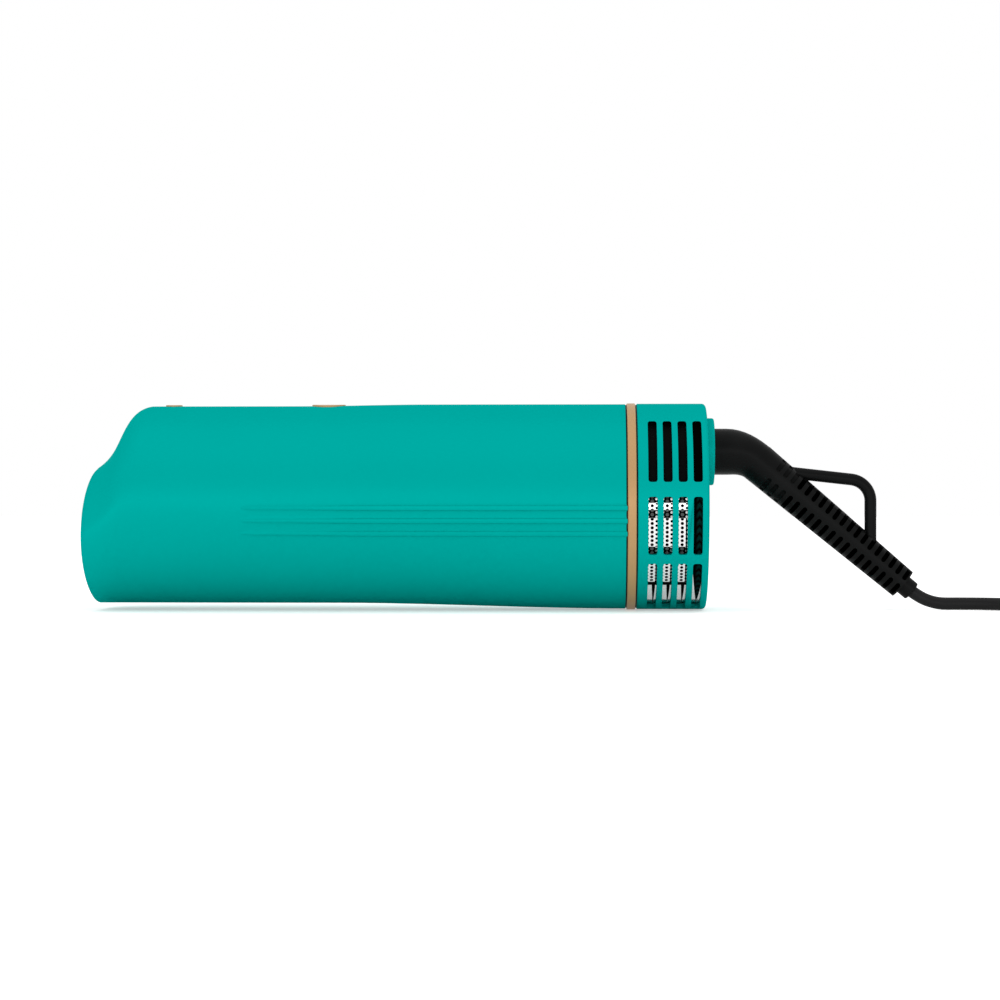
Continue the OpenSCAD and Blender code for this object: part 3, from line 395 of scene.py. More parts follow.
def bootFinish():
    # rubber whose slots are painted black and dull, as the shade in them: depth is cone radius less distance from the
    # straight run's axis, and the run is counted from the vertex of the bend
    look = dict(
        start=13.6, end=85.6, fade=0.2, radius=8.32, radiusAt=6.6, taper=0.02196, shallow=0.5, deep=1.0, coat=0.55,
    )
    finish = Finish("bootRubber", specularLevel=0.0, coatIor=1.2, coatRoughness=0.35)
    x, y, z = finish.split(finish.place())
    ahead = (x - place["mouthX"]) * 1000 - bendVertex[0]
    above = (z - place["axisZ"]) * 1000 - bendVertex[2]
    run = ahead * math.cos(bend) - above * math.sin(bend)
    away = ((y * 1000) ** 2 + (ahead * math.sin(bend) + above * math.cos(bend)) ** 2) ** 0.5
    depth = (look["radius"] - look["taper"] * (run - look["radiusAt"])) - away
    along = run.ramp(look["start"] - look["fade"], look["start"]) * (run < look["end"])
    # painted shade: down in the slots the rubber turns black and loses its coat
    paintedSlotShade = depth.ramp(look["shallow"], look["deep"]) * along
    dust = finish.noise(70, 4) ** 3.0
    rubber = finish.colours(dust, (0.0036, 0.0038, 0.0038), (0.009, 0.0094, 0.0094))
    finish.set(
        baseColor=finish.colours(paintedSlotShade, rubber, (0.0004, 0.0004, 0.0004)),
        coatWeight=(1 - paintedSlotShade) * look["coat"],
        roughness=finish.noise(240, 3) * 0.16 + 0.4,
        normal=finish.bump(finish.noise(1900, 2), 0.22, 0.00003),
    )
    return finish.material


def jacketFinish():  # extruded flex: faint draw lines that run with the cord, from its own UV map
    finish = Finish("cordJacket", specularLevel=0.12)
    along, around, _ = finish.split(finish.place("UV"))
    stretched = finish.node("CombineXYZ", {}, [along * 40, around * 1800, 0])
    lines = finish.noise(1, 2, stretched)
    scuff = finish.noise(85, 4) ** 4.0
    finish.set(
        baseColor=finish.colours(scuff, (0.008, 0.008, 0.0083), (0.02, 0.02, 0.0205)),
        roughness=lines * 0.12 + scuff * 0.2 + 0.36,
        normal=finish.bump(lines, 0.12, 0.00003),
    )
    return finish.material


def roundTheBarrel(finish):
    # angle from the horizontal in degrees, the same on both sides, then mm from the mouth and from the axis
    x, y, z = finish.split(finish.place())
    above = z - place["axisZ"]
    turn = above.maths("ARCTAN2", above, abs(y)) * (180 / math.pi)
    return turn, (x - place["mouthX"]) * 1000, (y ** 2 + (z - place["axisZ"]) ** 2) ** 0.5 * 1000


def notchMask(finish, turn, along, notch):  # 1 inside wedges that narrow from the first angle down to the last
    grown = turn.ramp(notch["toDeg"], notch["fromDeg"])
    half = grown * (notch["wide"] - notch["narrow"]) + notch["narrow"]
    off = abs(((along - notch["first"]) / notch["pitch"] + 0.5) % 1.0 - 0.5) * notch["pitch"]
    return 1 - off.ramp(half - 0.08, half + 0.08)


def perforatedFinish():
    # three columns of holes show in each slot, the outer two half a row lower than the middle one; bands of painted
    # shade cross the sheet, with painted glints at their holes, a painted shadow line runs down beside the holes, and
    # below the last band the sheet is plain, with black notches that narrow downwards; the inner face is painted black
    # as the shade seen through the holes
    look = dict(
        slot=6.1, middle=233.7, aside=1.81, row=1.81, rowDeg=-14.8, hole=0.67, radius=40.6, plainBelow=-52.5,
        bars=((5.0, 2.9), (-4.25, 2.35), (-27.5, 3.8), (-51.1, 1.5)),
        notch=dict(first=234.6, pitch=6.0, wide=0.72, narrow=0.16, fromDeg=-52.5, toDeg=-74),
        fold=dict(first=235.5, pitch=6.05, half=0.26, lowDeg=-31, thirdX=245, thirdDeg=-6.5),
    )
    finish = Finish("perforatedSteel", specularLevel=0.0)
    turn, along, reach = roundTheBarrel(finish)
    off = abs(((along - look["middle"]) / look["slot"] + 0.5) % 1.0 - 0.5) * look["slot"]
    aside = abs(off - look["aside"])
    row = (turn - look["rowDeg"]) * (look["radius"] / look["row"] * math.pi / 180)
    down = abs((row + 0.5) % 1.0 - 0.5) * look["row"]
    downAside = abs(row % 1.0 - 0.5) * look["row"]
    middleHole = (off ** 2 + down ** 2) ** 0.5 < look["hole"]
    sideHole = (aside ** 2 + downAside ** 2) ** 0.5 < look["hole"] * 0.8
    holes = middleHole.larger(sideHole)
    # painted shade: dark bands across the sheet where the slot edges shade it
    shadeBand = 0.0
    for middle, half in look["bars"]:
        edge = abs(turn - middle)
        shadeBand = (1 - edge.ramp(half - 0.15, half + 0.15)).larger(shadeBand)
    # painted glints: lighter dots at the holes within the shade bands
    paintedGlints = (middleHole * 0.16 + sideHole * 0.75) * (turn > -48.0)
    plain = turn < look["plainBelow"]
    notch = plain * notchMask(finish, turn, along, look["notch"])
    # painted shade: a dark line beside the holes of each slot, where the slot wall shades the sheet
    fold = look["fold"]
    offSlotShade = abs(((along - fold["first"]) / fold["pitch"] + 0.5) % 1.0 - 0.5) * fold["pitch"]
    where = (turn < fold["lowDeg"]) + (along > fold["thirdX"]) * (turn < fold["thirdDeg"])
    shadeLine = 1 - offSlotShade.ramp(fold["half"] - 0.1, fold["half"] + 0.1)
    slotShadeMask = shadeLine * (1 - plain) * where.maths("MINIMUM", where, 1.0)
    # painted shade: the inner face is black, as the shade seen through the holes
    innerShade = 1 - reach.ramp(look["radius"] - 0.3, look["radius"] - 0.2)
    dark = shadeBand * (1 - paintedGlints)
    for other in (notch, slotShadeMask, innerShade):
        dark = dark.larger(other)
    brushed = finish.noise(700, 3, finish.node("CombineXYZ", {}, [along * 0.0002, turn * 0.0007, 0]))
    steel = finish.colours(brushed, (0.7, 0.69, 0.69), (0.8, 0.79, 0.79))
    finish.set(
        baseColor=finish.colours(dark, steel, (0.003, 0.0034, 0.0034)),
        metallic=1 - dark,
        roughness=brushed * 0.08 + dark * 0.4 + 0.12,
        alpha=1 - holes * (1 - plain) * (shadeBand < 0.5) * (1 - innerShade),
    )
    return finish.material


def frameFinish():
    # the sheet's black end frame: painted dim teal light in hooked patches, and below them plain steel beside a black
    # wedge
    look = dict(
        patch=3.35, patchDeg=-8.4, patchAt=252.9, radius=40.6, tealLightTop=5.0,
        notch=dict(first=252.6, pitch=40, wide=2.0, narrow=0.16, fromDeg=-43, toDeg=-74),
    )
    finish = Finish("filterEnd", specularLevel=0.0)
    turn, along, _ = roundTheBarrel(finish)
    hook = turn + abs(along - look["patchAt"]) * 1.6
    patch = abs(((hook - look["patchDeg"]) * (look["radius"] / look["patch"] * math.pi / 180) + 0.5) % 1.0 - 0.5)
    # painted light: dim teal patches, as from the cap's teal inside in shade
    paintedTealLight = (1 - patch.ramp(0.1, 0.42)) * (1 - abs(along - look["patchAt"]).ramp(0.5, 1.5)) * (turn < look["tealLightTop"])
    steel = (1 - notchMask(finish, turn, along, look["notch"])) * (turn < look["notch"]["fromDeg"])
    black = finish.colours(paintedTealLight, (0.0015, 0.0015, 0.0015), (0.0015, 0.03, 0.026))
    finish.set(
        baseColor=finish.colours(steel, black, (0.75, 0.74, 0.74)),
        metallic=steel,
        roughness=finish.noise(300, 2) * 0.1 + 0.75 - steel * 0.6,
    )
    return finish.material


def brushedFinish(name, colour, roughness, centreZ):  # turned metal: streaks run round an axis along x
    finish = Finish(name, metallic=1.0)
    x, y, z = finish.split(finish.place())
    reach = (y ** 2 + (z - centreZ) ** 2) ** 0.5
    streaks = finish.noise(1, 3, finish.node("CombineXYZ", {}, [x * 3000, reach * 3000, 0]))
    finish.set(
        baseColor=finish.colours(streaks, shade(colour, 0.8), shade(colour, 1.15)),
        roughness=streaks * 0.22 + (roughness - 0.11),
        normal=finish.bump(streaks, 0.15, 0.00002),
    )
    return finish.material


def boardFinish():  # solder resist over tracks, with pads at the crossings
    finish = Finish("circuitBoard", coatWeight=0.4, coatRoughness=0.15)
    x, y, z = finish.split(finish.place())
    tracks = (abs((x * 260) % 1.0 - 0.5) < 0.12) + (abs((y * 310) % 1.0 - 0.5) < 0.12)
    pads = ((((x * 260) % 1.0 - 0.5) ** 2 + ((y * 310) % 1.0 - 0.5) ** 2) < 0.05) * 1.0
    resist = finish.colours(tracks * 0.5, (0.01, 0.09, 0.045), (0.02, 0.16, 0.08))
    finish.set(
        baseColor=finish.colours(pads, resist, (0.55, 0.5, 0.36)),
        roughness=finish.noise(500, 2) * 0.1 + 0.28,
        normal=finish.bump(tracks + pads, 0.3, 0.00004),
    )
    return finish.material


def micaFinish():
    finish = Finish("micaSheet", specularLevel=0.6)
    flakes = finish.node("TexVoronoi", {}, {"Vector": finish.place(), "Scale": 420.0}, "Color")
    tone = finish.node("SeparateColor", {}, [flakes])
    finish.set(
        baseColor=finish.colours(tone, (0.5, 0.42, 0.28), (0.68, 0.6, 0.44)),
        roughness=tone * 0.25 + 0.3,
        normal=finish.bump(tone, 0.25, 0.00004),
    )
    return finish.material


def woundFinish():  # enamelled wire: fine ridges side by side along x
    finish = Finish("copperWinding", metallic=0.8)
    x, y, z = finish.split(finish.place())
    ridge = abs((x * 2200) % 1.0 - 0.5)
    # painted shade: the copper darkens towards the gaps between the turns
    finish.set(
        baseColor=finish.colours(ridge * 2, (0.55, 0.24, 0.1), (0.3, 0.12, 0.05)),
        roughness=finish.noise(400, 2) * 0.15 + 0.25,
        normal=finish.bump(1 - ridge, 0.4, 0.0001),
    )
    return finish.material


def strapFinish():  # hook-and-loop strap: short loops on a woven ground
    finish = Finish("wovenStrap", sheenWeight=0.3, sheenRoughness=0.5)
    along, around, _ = finish.split(finish.place("UV"))
    weave = abs((along * 1400) % 1.0 - 0.5) * abs((around * 1400) % 1.0 - 0.5) * 4
    fuzz = finish.noise(2400, 3)
    finish.set(
        baseColor=finish.colours(fuzz, (0.008, 0.008, 0.009), (0.03, 0.03, 0.032)),
        roughness=fuzz * 0.2 + 0.7,
        normal=finish.bump(weave + fuzz, 0.5, 0.0001),
    )
    return finish.material


ductZ = place["axisZ"] - place["ductDrop"] * mm
looks = {
    "shell": lacquerFinish(),
    "trim": goldFinish(),
    "black_plastic": plainFinish("blackPlastic", (0.008, 0.008, 0.0085), 0.5, 0.5, 0.03, 0.2, specularLevel=0.08),
    "black_rubber": rubberFinish("blackRubber", (0.012, 0.012, 0.012), 0.55),
    "boot_rubber": bootFinish(),
    "cord_jacket": jacketFinish(),
    "lead_insulation": plainFinish("leadInsulation", (0.03, 0.03, 0.03), 0.35, 0.3, 0.02),
    "plug_rubber": rubberFinish("plugRubber", (0.01, 0.01, 0.0104), 0.4),
    "tie_plastic": strapFinish(),
    "pin_metal": brushedFinish("pinMetal", (0.74, 0.7, 0.6), 0.28, 0.0094),
    "mesh_steel": perforatedFinish(),
    "motor_steel": brushedFinish("motorSteel", (0.56, 0.56, 0.57), 0.34, ductZ),
    "winding_copper": woundFinish(),
    "heater_wire": plainFinish("heaterWire", (0.34, 0.32, 0.31), 0.4, 0.2, 0.02, metallic=0.9),
    "mica": micaFinish(),
    "circuit_board": boardFinish(),
}
print("dryer:", len(looks), "finishes made")

for part in frame["record"]["subparts"]:  # every CAD node gets its finish, shown or not
    for slot in frame["nodes"][part["node"]].material_slots:
        slot.material = looks[part["material_slot"]]
mattBlack = plainFinish("mattBlack", (0.002, 0.002, 0.002), 0.8, 0.4, 0.03, 0.3, specularLevel=0.05)
filterEnd = frameFinish()
for slot in frame["nodes"]["filter_frame"].material_slots:
    slot.material = filterEnd

# the mains cord, its coil and its plug
flex = dict(diameter=5.3, gap=0.42, turns=8.25, widest=44.1, centre=(260, 0, 3.65), leadEnd=30, sides=14, turnParts=48)
route = np.array([
    [173, 0, 5.95], [175.7, 0, 4.5], [178.5, 0, 3.5], [181.4, 0, 2.87], [184.5, 0, 2.65],
    [189.8, 0, 2.65], [195.9, -0.6, 2.65], [201.8, -2.3, 2.65], [207.2, -5.2, 2.65],
    [212, -9, 2.65], [216, -13.6, 2.65], [218.9, -18.7, 2.65], [223.2, -25.8, 2.7],
    [228.9, -32.2, 2.9], [235.7, -37.4, 3.2], [243.4, -41.2, 3.5], [251.6, -43.5, 3.65],
    [260, -44.1, 3.65],
], float)


def cordPath():  # from the sheath down to the bench, along the route, round the coil and on to the plug
    exitPoint = toFrame(bendVertex + (bendReach + outlet["run"] + outlet["sheath"]) * slopeOut)
    pitch = flex["diameter"] + flex["gap"]
    turn = np.arange(0, flex["turns"] * flex["turnParts"] + 1) / flex["turnParts"]
    radius = flex["widest"] - pitch * np.minimum(turn, flex["turns"] - turn)
    rise = np.clip((turn - flex["turns"] / 2) * 2 + 0.5, 0, 1)
    angle = 2 * math.pi * turn - math.pi / 2
    coil = np.array(flex["centre"]) + np.stack([radius * np.cos(angle), radius * np.sin(angle), pitch * rise], -1)
    tail = coil[-1] + np.array([0, 1, 0]) * np.linspace(3, flex["leadEnd"], 10)[:, None]
    free = throughPoints(np.vstack([exitPoint / mm, route]), 6)
    return exitPoint, np.vstack([free[:-1], coil, tail]) * mm, coil[-1] * mm


cordExit, cordLine, coilEnd = cordPath()
cordLength = float(alongOf(cordLine)[-1])
cord = makeSurface(
    "cordTube", sweep(cordLine, flex["diameter"] / 2 * mm, flex["sides"], (slopeOut, np.array([0, 1.0, 0]))),
    capEnds=True, uvSize=(cordLength, math.pi * flex["diameter"] * mm),
)
settle(cord, looks["cord_jacket"], "dryer", "cord_jacket", "cord", "cord_coil", "plug_lead")
print("dryer: cord of", round(cordLength, 4), "m")

plug = dict(relief=14, body=34, wide=36, neck=17, high=18.7, pinSpacing=19, pinDiameter=4, pinLength=19)
foot = coilEnd / mm + np.array([0, flex["leadEnd"], 0])


def plugGrid():
    # squarish rings along y: half width and height are functions of y, and the corners sharpen towards the face
    end = plug["relief"] + plug["body"]
    y = np.concatenate([np.linspace(0, plug["relief"], 43), np.linspace(plug["relief"], end, 46)[1:]])
    t = np.clip((y - plug["relief"]) / plug["body"], 0, 1)
    wave = 0.45 * (0.5 + 0.5 * np.cos(2 * math.pi * y / 3.5)) * (y < plug["relief"] - 0.5)
    ribbed = mix(3.85, 6.0, y / plug["relief"]) + wave
    waist = 1.6 * np.exp(-((t - 0.62) / 0.13) ** 2)
    halfWide = np.where(t > 0, mix(plug["neck"], plug["wide"], smooth(t * 1.5)) / 2 - waist, ribbed)
    halfHigh = np.where(t > 0, mix(13, plug["high"], smooth(t * 1.6)) / 2, ribbed)
    faceRound = 0.955  # the share of the body at which its face starts to round off
    edge = np.sqrt(np.clip(1 - ((t - faceRound) / (1 - faceRound)) ** 2, 0, 1)) * (t > faceRound) + (t <= faceRound)
    halfWide, halfHigh = halfWide - 1.6 * (1 - edge), halfHigh - 1.6 * (1 - edge)
    power = np.where(t > 0, mix(2.2, 4.0, smooth(t * 2)), 2.0)[:, None]
    a = np.linspace(0, 2 * math.pi, 72, endpoint=False)[None, :]
    x = halfWide[:, None] * np.sign(np.cos(a)) * np.abs(np.cos(a)) ** (2 / power)
    z = halfHigh[:, None] * np.sign(np.sin(a)) * np.abs(np.sin(a)) ** (2 / power)
    z = z * mix(1, 0.9, (np.abs(x) / (plug["wide"] / 2)) ** 2)
    grid = np.stack([foot[0] + x, foot[1] + y[:, None] + 0 * a, foot[2] + z], -1)
    poles = [np.broadcast_to(grid[k].mean(0), grid[k].shape)[None] for k in (0, -1)]
    return np.vstack([poles[0], grid, poles[1]]) * mm


plugShape = makeSurface("plugShape", plugGrid(), sharpDeg=50)
settle(plugShape, looks["plug_rubber"], "dryer", "plug_rubber", "plug_body")
pinParts = []
for side in (-1, 1):
    half, tip, sunk = plug["pinDiameter"] / 2, 1.2, 0.4
    start = foot[1] + plug["relief"] + plug["body"]
    nose = arc((0, 0), 1, 90, 0, 8) * [tip, half] + [start + plug["pinLength"] - tip, 0]
    outline = np.vstack([[[start - sunk, 0], [start - sunk, half]], nose])
    centre = foot[0] + side * plug["pinSpacing"] / 2, foot[2]
    pinParts.append(makeSurface(f"plugPin{side}", revolve(outline, 40, centre, "y") * mm))
    settle(pinParts[-1], looks["pin_metal"], "dryer", "pin_metal", "plug_pins")

tie = dict(atDeg=135, thick=0.8, wide=8, corner=2.4)


def tieGrid():
    # the strap's centreline is a rounded box round the bundle; its own section is a thin rounded bar
    pitch = flex["diameter"] + flex["gap"]
    inner = flex["widest"] - pitch * flex["turns"] / 2
    halfW = (flex["widest"] - inner + flex["diameter"]) / 2 + 0.3 + tie["thick"] / 2
    halfH = (pitch + flex["diameter"] + 0.4) / 2 + tie["thick"] / 2
    r = tie["corner"]
    quarters = ((1, 1, 0), (-1, 1, 90), (-1, -1, 180), (1, -1, 270))
    corners = [((halfW - r) * sx, (halfH - r) * sz, a) for sx, sz, a in quarters]
    loop = np.vstack([arc((cx, cz), r, a, a + 90, 10) for cx, cz, a in corners])
    outward = np.vstack([arc((0, 0), 1, a, a + 90, 10) for _, _, a in corners])
    lip = arc((0, 0), 1, 0, 360, 17)[:-1]
    section = np.sign(lip) * np.abs(lip) ** (2 / 6) * [tie["thick"] / 2, tie["wide"] / 2]
    flat = loop[:, None] + outward[:, None] * section[None, :, :1]
    spin = math.radians(tie["atDeg"])
    reach = (flex["widest"] + inner) / 2 + flat[..., 0]
    side = np.broadcast_to(section[None, :, 1], reach.shape)
    x = flex["centre"][0] + reach * math.cos(spin) - side * math.sin(spin)
    y = flex["centre"][1] + reach * math.sin(spin) + side * math.cos(spin)
    return np.stack([x, y, flat[..., 1] + halfH + tie["thick"] / 2], -1) * mm


strap = makeSurface("coilStrap", tieGrid(), closeRows=True, uvSize=(0.086, 0.018), sharpDeg=60)
settle(strap, looks["tie_plastic"], "dryer", "tie_plastic", "coil_tie")
print("dryer: plug, pins and tie made")

# the barrel
barrel = dict(
    length=223.2, frontRadius=41.55, rearRadius=43, frontRise=0.77, wall=2.4, noseLength=23.6, noseDrop=26,
    mouthHalfWidth=39, rimRound=0.6, rimBackTop=0.9, rimBackLow=1.1, topFlare=(86, 54), bottomFlare=103,
    endStep=0.05, noseParts=40, sharpDeg=32,
)
rib = dict(
    count=3, firstDeg=-0.8, pitchDeg=7, high=0.8, wide=3.9, crest=1.6, flank=0.45, start=66, tip=9, rise=45,
    overhang=0.5, bandDeg=(-21, 6),
)
degPerMm = 180 / math.pi / barrel["rearRadius"]


def topReach(x):
    start, length = barrel["topFlare"]
    return mix(barrel["frontRadius"] + barrel["frontRise"], barrel["rearRadius"], smooth((x - start) / length))


def bottomReach(x):
    run = (x - barrel["bottomFlare"]) / (barrel["length"] - barrel["bottomFlare"])
    return mix(barrel["frontRadius"] - barrel["frontRise"], barrel["rearRadius"], smooth(run))


def barrelRows(x, left, grown, inset):
    # half width, centre height and half height of each section; left is the share of the nose's drop that is left,
    # and grown the share of the way from the oval mouth to the round barrel
    top = topReach(x) - barrel["noseDrop"] * left
    halfWide = mix(barrel["mouthHalfWidth"], (topReach(x) + bottomReach(x)) / 2, grown)
    return halfWide - inset, (top - bottomReach(x)) / 2, (top + bottomReach(x)) / 2 - inset


def levelDeg(x, endDeg):
    # angle at x of a level line that lies at endDeg at the barrel's end: the arcsine of its height over the radius
    run = np.maximum(x, rib["start"])[:, None]
    midRadius, midHeight = (topReach(run) + bottomReach(run)) / 2, (topReach(run) - bottomReach(run)) / 2
    height = barrel["rearRadius"] * np.sin(np.radians(endDeg))[None, :]
    return np.degrees(np.arcsin((height - midHeight) / midRadius))


def ribCrests():
    return np.array([rib["firstDeg"] - k * rib["pitchDeg"] for k in range(rib["count"])])


def ringAngles(x, endDeg):
    # the ribs' band keeps level lines; above and below it the turn fades with the cosine of the angle
    right = np.cos(np.radians(endDeg)) > 0
    mirrored = np.where(right, endDeg, 180 - endDeg)
    mirrored = (mirrored + 180) % 360 - 180
    band = np.clip(mirrored, *rib["bandDeg"])
    turned = levelDeg(x, band) - band
    turned = turned * (np.cos(np.radians(mirrored)) / np.cos(np.radians(band)))[None, :]
    return endDeg[None, :] + np.where(right, turned, -turned)


def ribLift(x, angle):
    # a low tent with a crest on it: both open from the tip, and the crest squares as it runs back; the lift is the
    # largest that any rib gives
    tip = np.clip((x - rib["start"]) / rib["tip"], 0, 1)
    opened = np.sqrt(tip * (2 - tip))[:, None]
    grown = smooth((x - rib["start"] - rib["tip"]) / rib["rise"])[:, None]
    crestEdge = rib["crest"] / 2 * mix(0.25, 1, grown)
    foot = rib["crest"] / 2 + rib["flank"]
    right = levelDeg(x, ribCrests())
    lift = np.zeros_like(angle)
    for crest in np.hstack([right, 180 - right]).T:
        off = np.abs((angle - crest[:, None] + 180) % 360 - 180) / degPerMm / np.maximum(opened, 1e-4)
        tent = np.clip(1 - off / (rib["wide"] / 2), 0, 1)
        ridge = mix(0.55, 1, grown) * (1 - smooth((off - crestEdge) / (foot - crestEdge)))
        lift = np.maximum(lift, opened * (0.3 * tent + 0.7 * ridge))
    return rib["high"] * lift * (x > rib["start"])[:, None]


def rimBack(x, angle):  # how far the nose lies behind the mouth's sides: less and less along it
    sine = np.sin(np.radians(angle))
    far = np.where(sine > 0, barrel["rimBackTop"], barrel["rimBackLow"]) * sine ** 2
    return far * np.clip(1 - x / barrel["noseLength"], 0, 1)[:, None]


def columnAngles():  # close together on the ribs' crests and flanks, wider elsewhere
    side = np.array([0, 0.25, 0.5, 0.66, 0.76, 0.83, 0.9, 0.97, 1.04, 1.11, 1.18, 1.26, 1.4, 1.6, 1.8, 1.95, 2.15])
    near = np.concatenate([crest + np.concatenate([-side[:0:-1], side]) * degPerMm for crest in ribCrests()])
    low, high = rib["bandDeg"]
    below, above = np.arange(low, near.min() - 0.2, 0.6), np.arange(near.max() + 0.4, high, 0.6)
    band = np.concatenate([below, np.sort(near), above])
    top, bottom = np.linspace(high, 180 - high, 86), np.linspace(180 - low, 360 + low, 71)
    return np.sort(np.concatenate([band, 180 - band, top[1:-1], bottom[1:-1]]))


def shellGrid():
    columns = columnAngles()
    s = np.linspace(0, 1, barrel["noseParts"] + 1)
    noseX = bezier(s, 0, 0.63, 0.44, 1) * barrel["noseLength"]
    plain, tips, rear = np.linspace(25, 65, 13), np.linspace(65.5, 80, 50), np.linspace(81, barrel["length"], 110)
    x = np.concatenate([noseX, plain, tips, rear])
    left = np.concatenate([bezier(s, 1, 0.65, 0.08, 0), np.zeros(len(x) - len(s))])
    grown = np.where(np.arange(len(x)) < len(s), 1 - (1 - np.clip(x / barrel["noseLength"], 0, 1)) ** 2, 1)

    def ring(x, rows, lift=0):  # rows of points: the angle runs round, and the section's half sizes grow by the lift
        angle = ringAngles(x, columns)
        halfWide, centre, halfHigh = (v[:, None] for v in rows)
        across = (halfWide + lift) * np.cos(np.radians(angle))
        height = centre + (halfHigh + lift) * np.sin(np.radians(angle))
        return np.stack([x[:, None] + rimBack(x, angle), across, height], -1)

    lift = ribLift(x, ringAngles(x, columns))
    outer = ring(x, barrelRows(x, left, grown, 0), lift)
    outer[-1, :, 0] += rib["overhang"] * lift[-1] / rib["high"]
    outer[0, :, 0] += barrel["rimRound"]
    end = ring(x[-1:], barrelRows(x[-1:], left[-1:], grown[-1:], barrel["endStep"]))

    def mouthRing(back, inset):  # rings at the mouth, moved back and inward
        mouth = np.zeros(len(back))
        return ring(back, barrelRows(mouth, mouth + 1, mouth, inset))

    roll = np.radians(np.linspace(0, 90, 6))[:-1]
    rim = mouthRing(barrel["rimRound"] * (1 - np.sin(roll)), barrel["rimRound"] * (1 - np.cos(roll)))
    noseIn = noseX[::4] + np.linspace(barrel["rimRound"], barrel["wall"], len(noseX[::4]))
    rearIn = np.array([46, 86, 104, 122, 140, 158, 176, 194, 210, barrel["length"]])
    inX = np.concatenate([noseIn, rearIn])
    inLeft = np.concatenate([left[:len(s):4], np.zeros(len(rearIn))])
    inGrown = np.concatenate([grown[:len(s):4], np.ones(len(rearIn))])
    inner = ring(inX, barrelRows(inX, inLeft, inGrown, barrel["wall"]))
    lipIn = mouthRing(np.array([0, 0.1, 0.35]), barrel["wall"] - np.array([0.6, 0.25, 0.06]))
    return toFrame(np.vstack([rim[::-1], outer, end, inner[::-1], lipIn[::-1]]))


shell = makeSurface("barrelShell", shellGrid(), closeRows=True, sharpDeg=barrel["sharpDeg"])
buttons = dict(power=(98.2, 14.1), mode=(32.4, 7.0), proud=0.55, gap=0.3, flange=1.15, flangeThick=1.1, cut=(20, 60))
for x, diameter in (buttons["power"], buttons["mode"]):  # the holes that the buttons stand in
    (low, high), radius = buttons["cut"], diameter / 2 + buttons["gap"]
    rod = [[low, 0], [low, radius], [high, radius], [high, 0]]
    cutter = makeSurface("cutter", toFrame(revolve(rod, 96, (x, 0), "z")))
    cut = shell.modifiers.new("hole", "BOOLEAN")
    cut.operation, cut.solver, cut.object = "DIFFERENCE", "EXACT", cutter
    bpy.context.view_layer.objects.active = shell
    bpy.ops.object.modifier_apply(modifier="hole")
    bpy.data.objects.remove(cutter)
shadeSmooth(shell, barrel["sharpDeg"])
settle(shell, looks["shell"], "dryer", "shell", "main_shell")
print("dryer: barrel made,", len(shell.data.polygons), "faces")

# ring, cap, boss
seam = dict(
    ringX=223.8, ringWide=3.6, ringRadius=43.385, bore=40.5, edge=0.45,
    capX=228.0, capLength=28.9, capRadius=43.2, capParts=30,
)


def ringGrid():
    x0, x1, r, e = seam["ringX"], seam["ringX"] + seam["ringWide"], seam["ringRadius"], seam["edge"]
    crown = arc((x0 + e, r - e), e, 180, 90, 6), arc((x1 - e, r - e), e, 90, 0, 6)
    return toFrame(revolve(np.vstack([[[x0, seam["bore"]]], *crown, [[x1, seam["bore"]]]]), 256))


ring = makeSurface("trimRing", ringGrid(), closeRows=True)
settle(ring, looks["trim"], "dryer", "trim", "trim_ring")

cap = copyOfNode("rear_cap", "intakeCap", 28)
capLine = np.zeros((seam["capParts"], 3))
capLine[:, 0] = seam["capX"] + np.linspace(0, seam["capLength"], seam["capParts"])
roundNormals(cap, (capLine, np.full(seam["capParts"], seam["capRadius"])), facingLeast=0.4)
settle(cap, looks["shell"], "dryer", "shell", "rear_cap")

boss = dict(radius=14.1, proud=3.6, edge=0.9, spigot=11.7, bore=10.0, wall=2.2)


def bossGrid():
    x0, x1, r, e = seam["capX"] + seam["capLength"], outlet["bossEnd"], boss["radius"], boss["edge"]
    outline = np.vstack([
        [[x0 - boss["wall"], boss["bore"]], [x0 - boss["wall"], boss["spigot"]], [x0, boss["spigot"]], [x0, r]],
        arc((x1 - e, r - e), e, 90, 0, 8), arc((x1 - 0.4, boss["bore"] + 0.4), 0.4, 0, -90, 4),
    ])
    return toFrame(revolve(outline, 160, (0, outlet["rise"])))


bossRing = makeSurface("cordBoss", bossGrid(), closeRows=True)
settle(bossRing, looks["shell"], "dryer", "shell", "cord_boss")

# filter and liner behind the slots
sheet = dict(x0=229.7, x1=249.2, radius=40.6, thick=0.8, halfDeg=99, splitDeg=0.6)


def sheetGrid(fromDeg, toDeg, count):  # a rolled sheet: angle from the bottom, thickness as a closed strip
    a = np.radians(np.linspace(fromDeg, toDeg, count))[:, None]
    strip = np.array([
        [sheet["x0"], sheet["radius"]], [sheet["x1"], sheet["radius"]],
        [sheet["x1"], sheet["radius"] - sheet["thick"]], [sheet["x0"], sheet["radius"] - sheet["thick"]],
    ])
    x, r = strip[None, :, 0] + 0 * a, strip[None, :, 1]
    return toFrame(np.stack([x, r * np.sin(a), -r * np.cos(a)], -1))


filterSheet = makeSurface("filterSheet", sheetGrid(-sheet["halfDeg"], sheet["halfDeg"], 121), capEnds=True)
settle(filterSheet, looks["mesh_steel"], "dryer", "mesh_steel", "filter_mesh")
low = sheet["halfDeg"] + sheet["splitDeg"]
liner = makeSurface("linerSheet", sheetGrid(low, 360 - low, 101), capEnds=True)
settle(liner, mattBlack, "dryer", "black_plastic", "upper_liner")
print("dryer: ring, cap, boss and filter made")



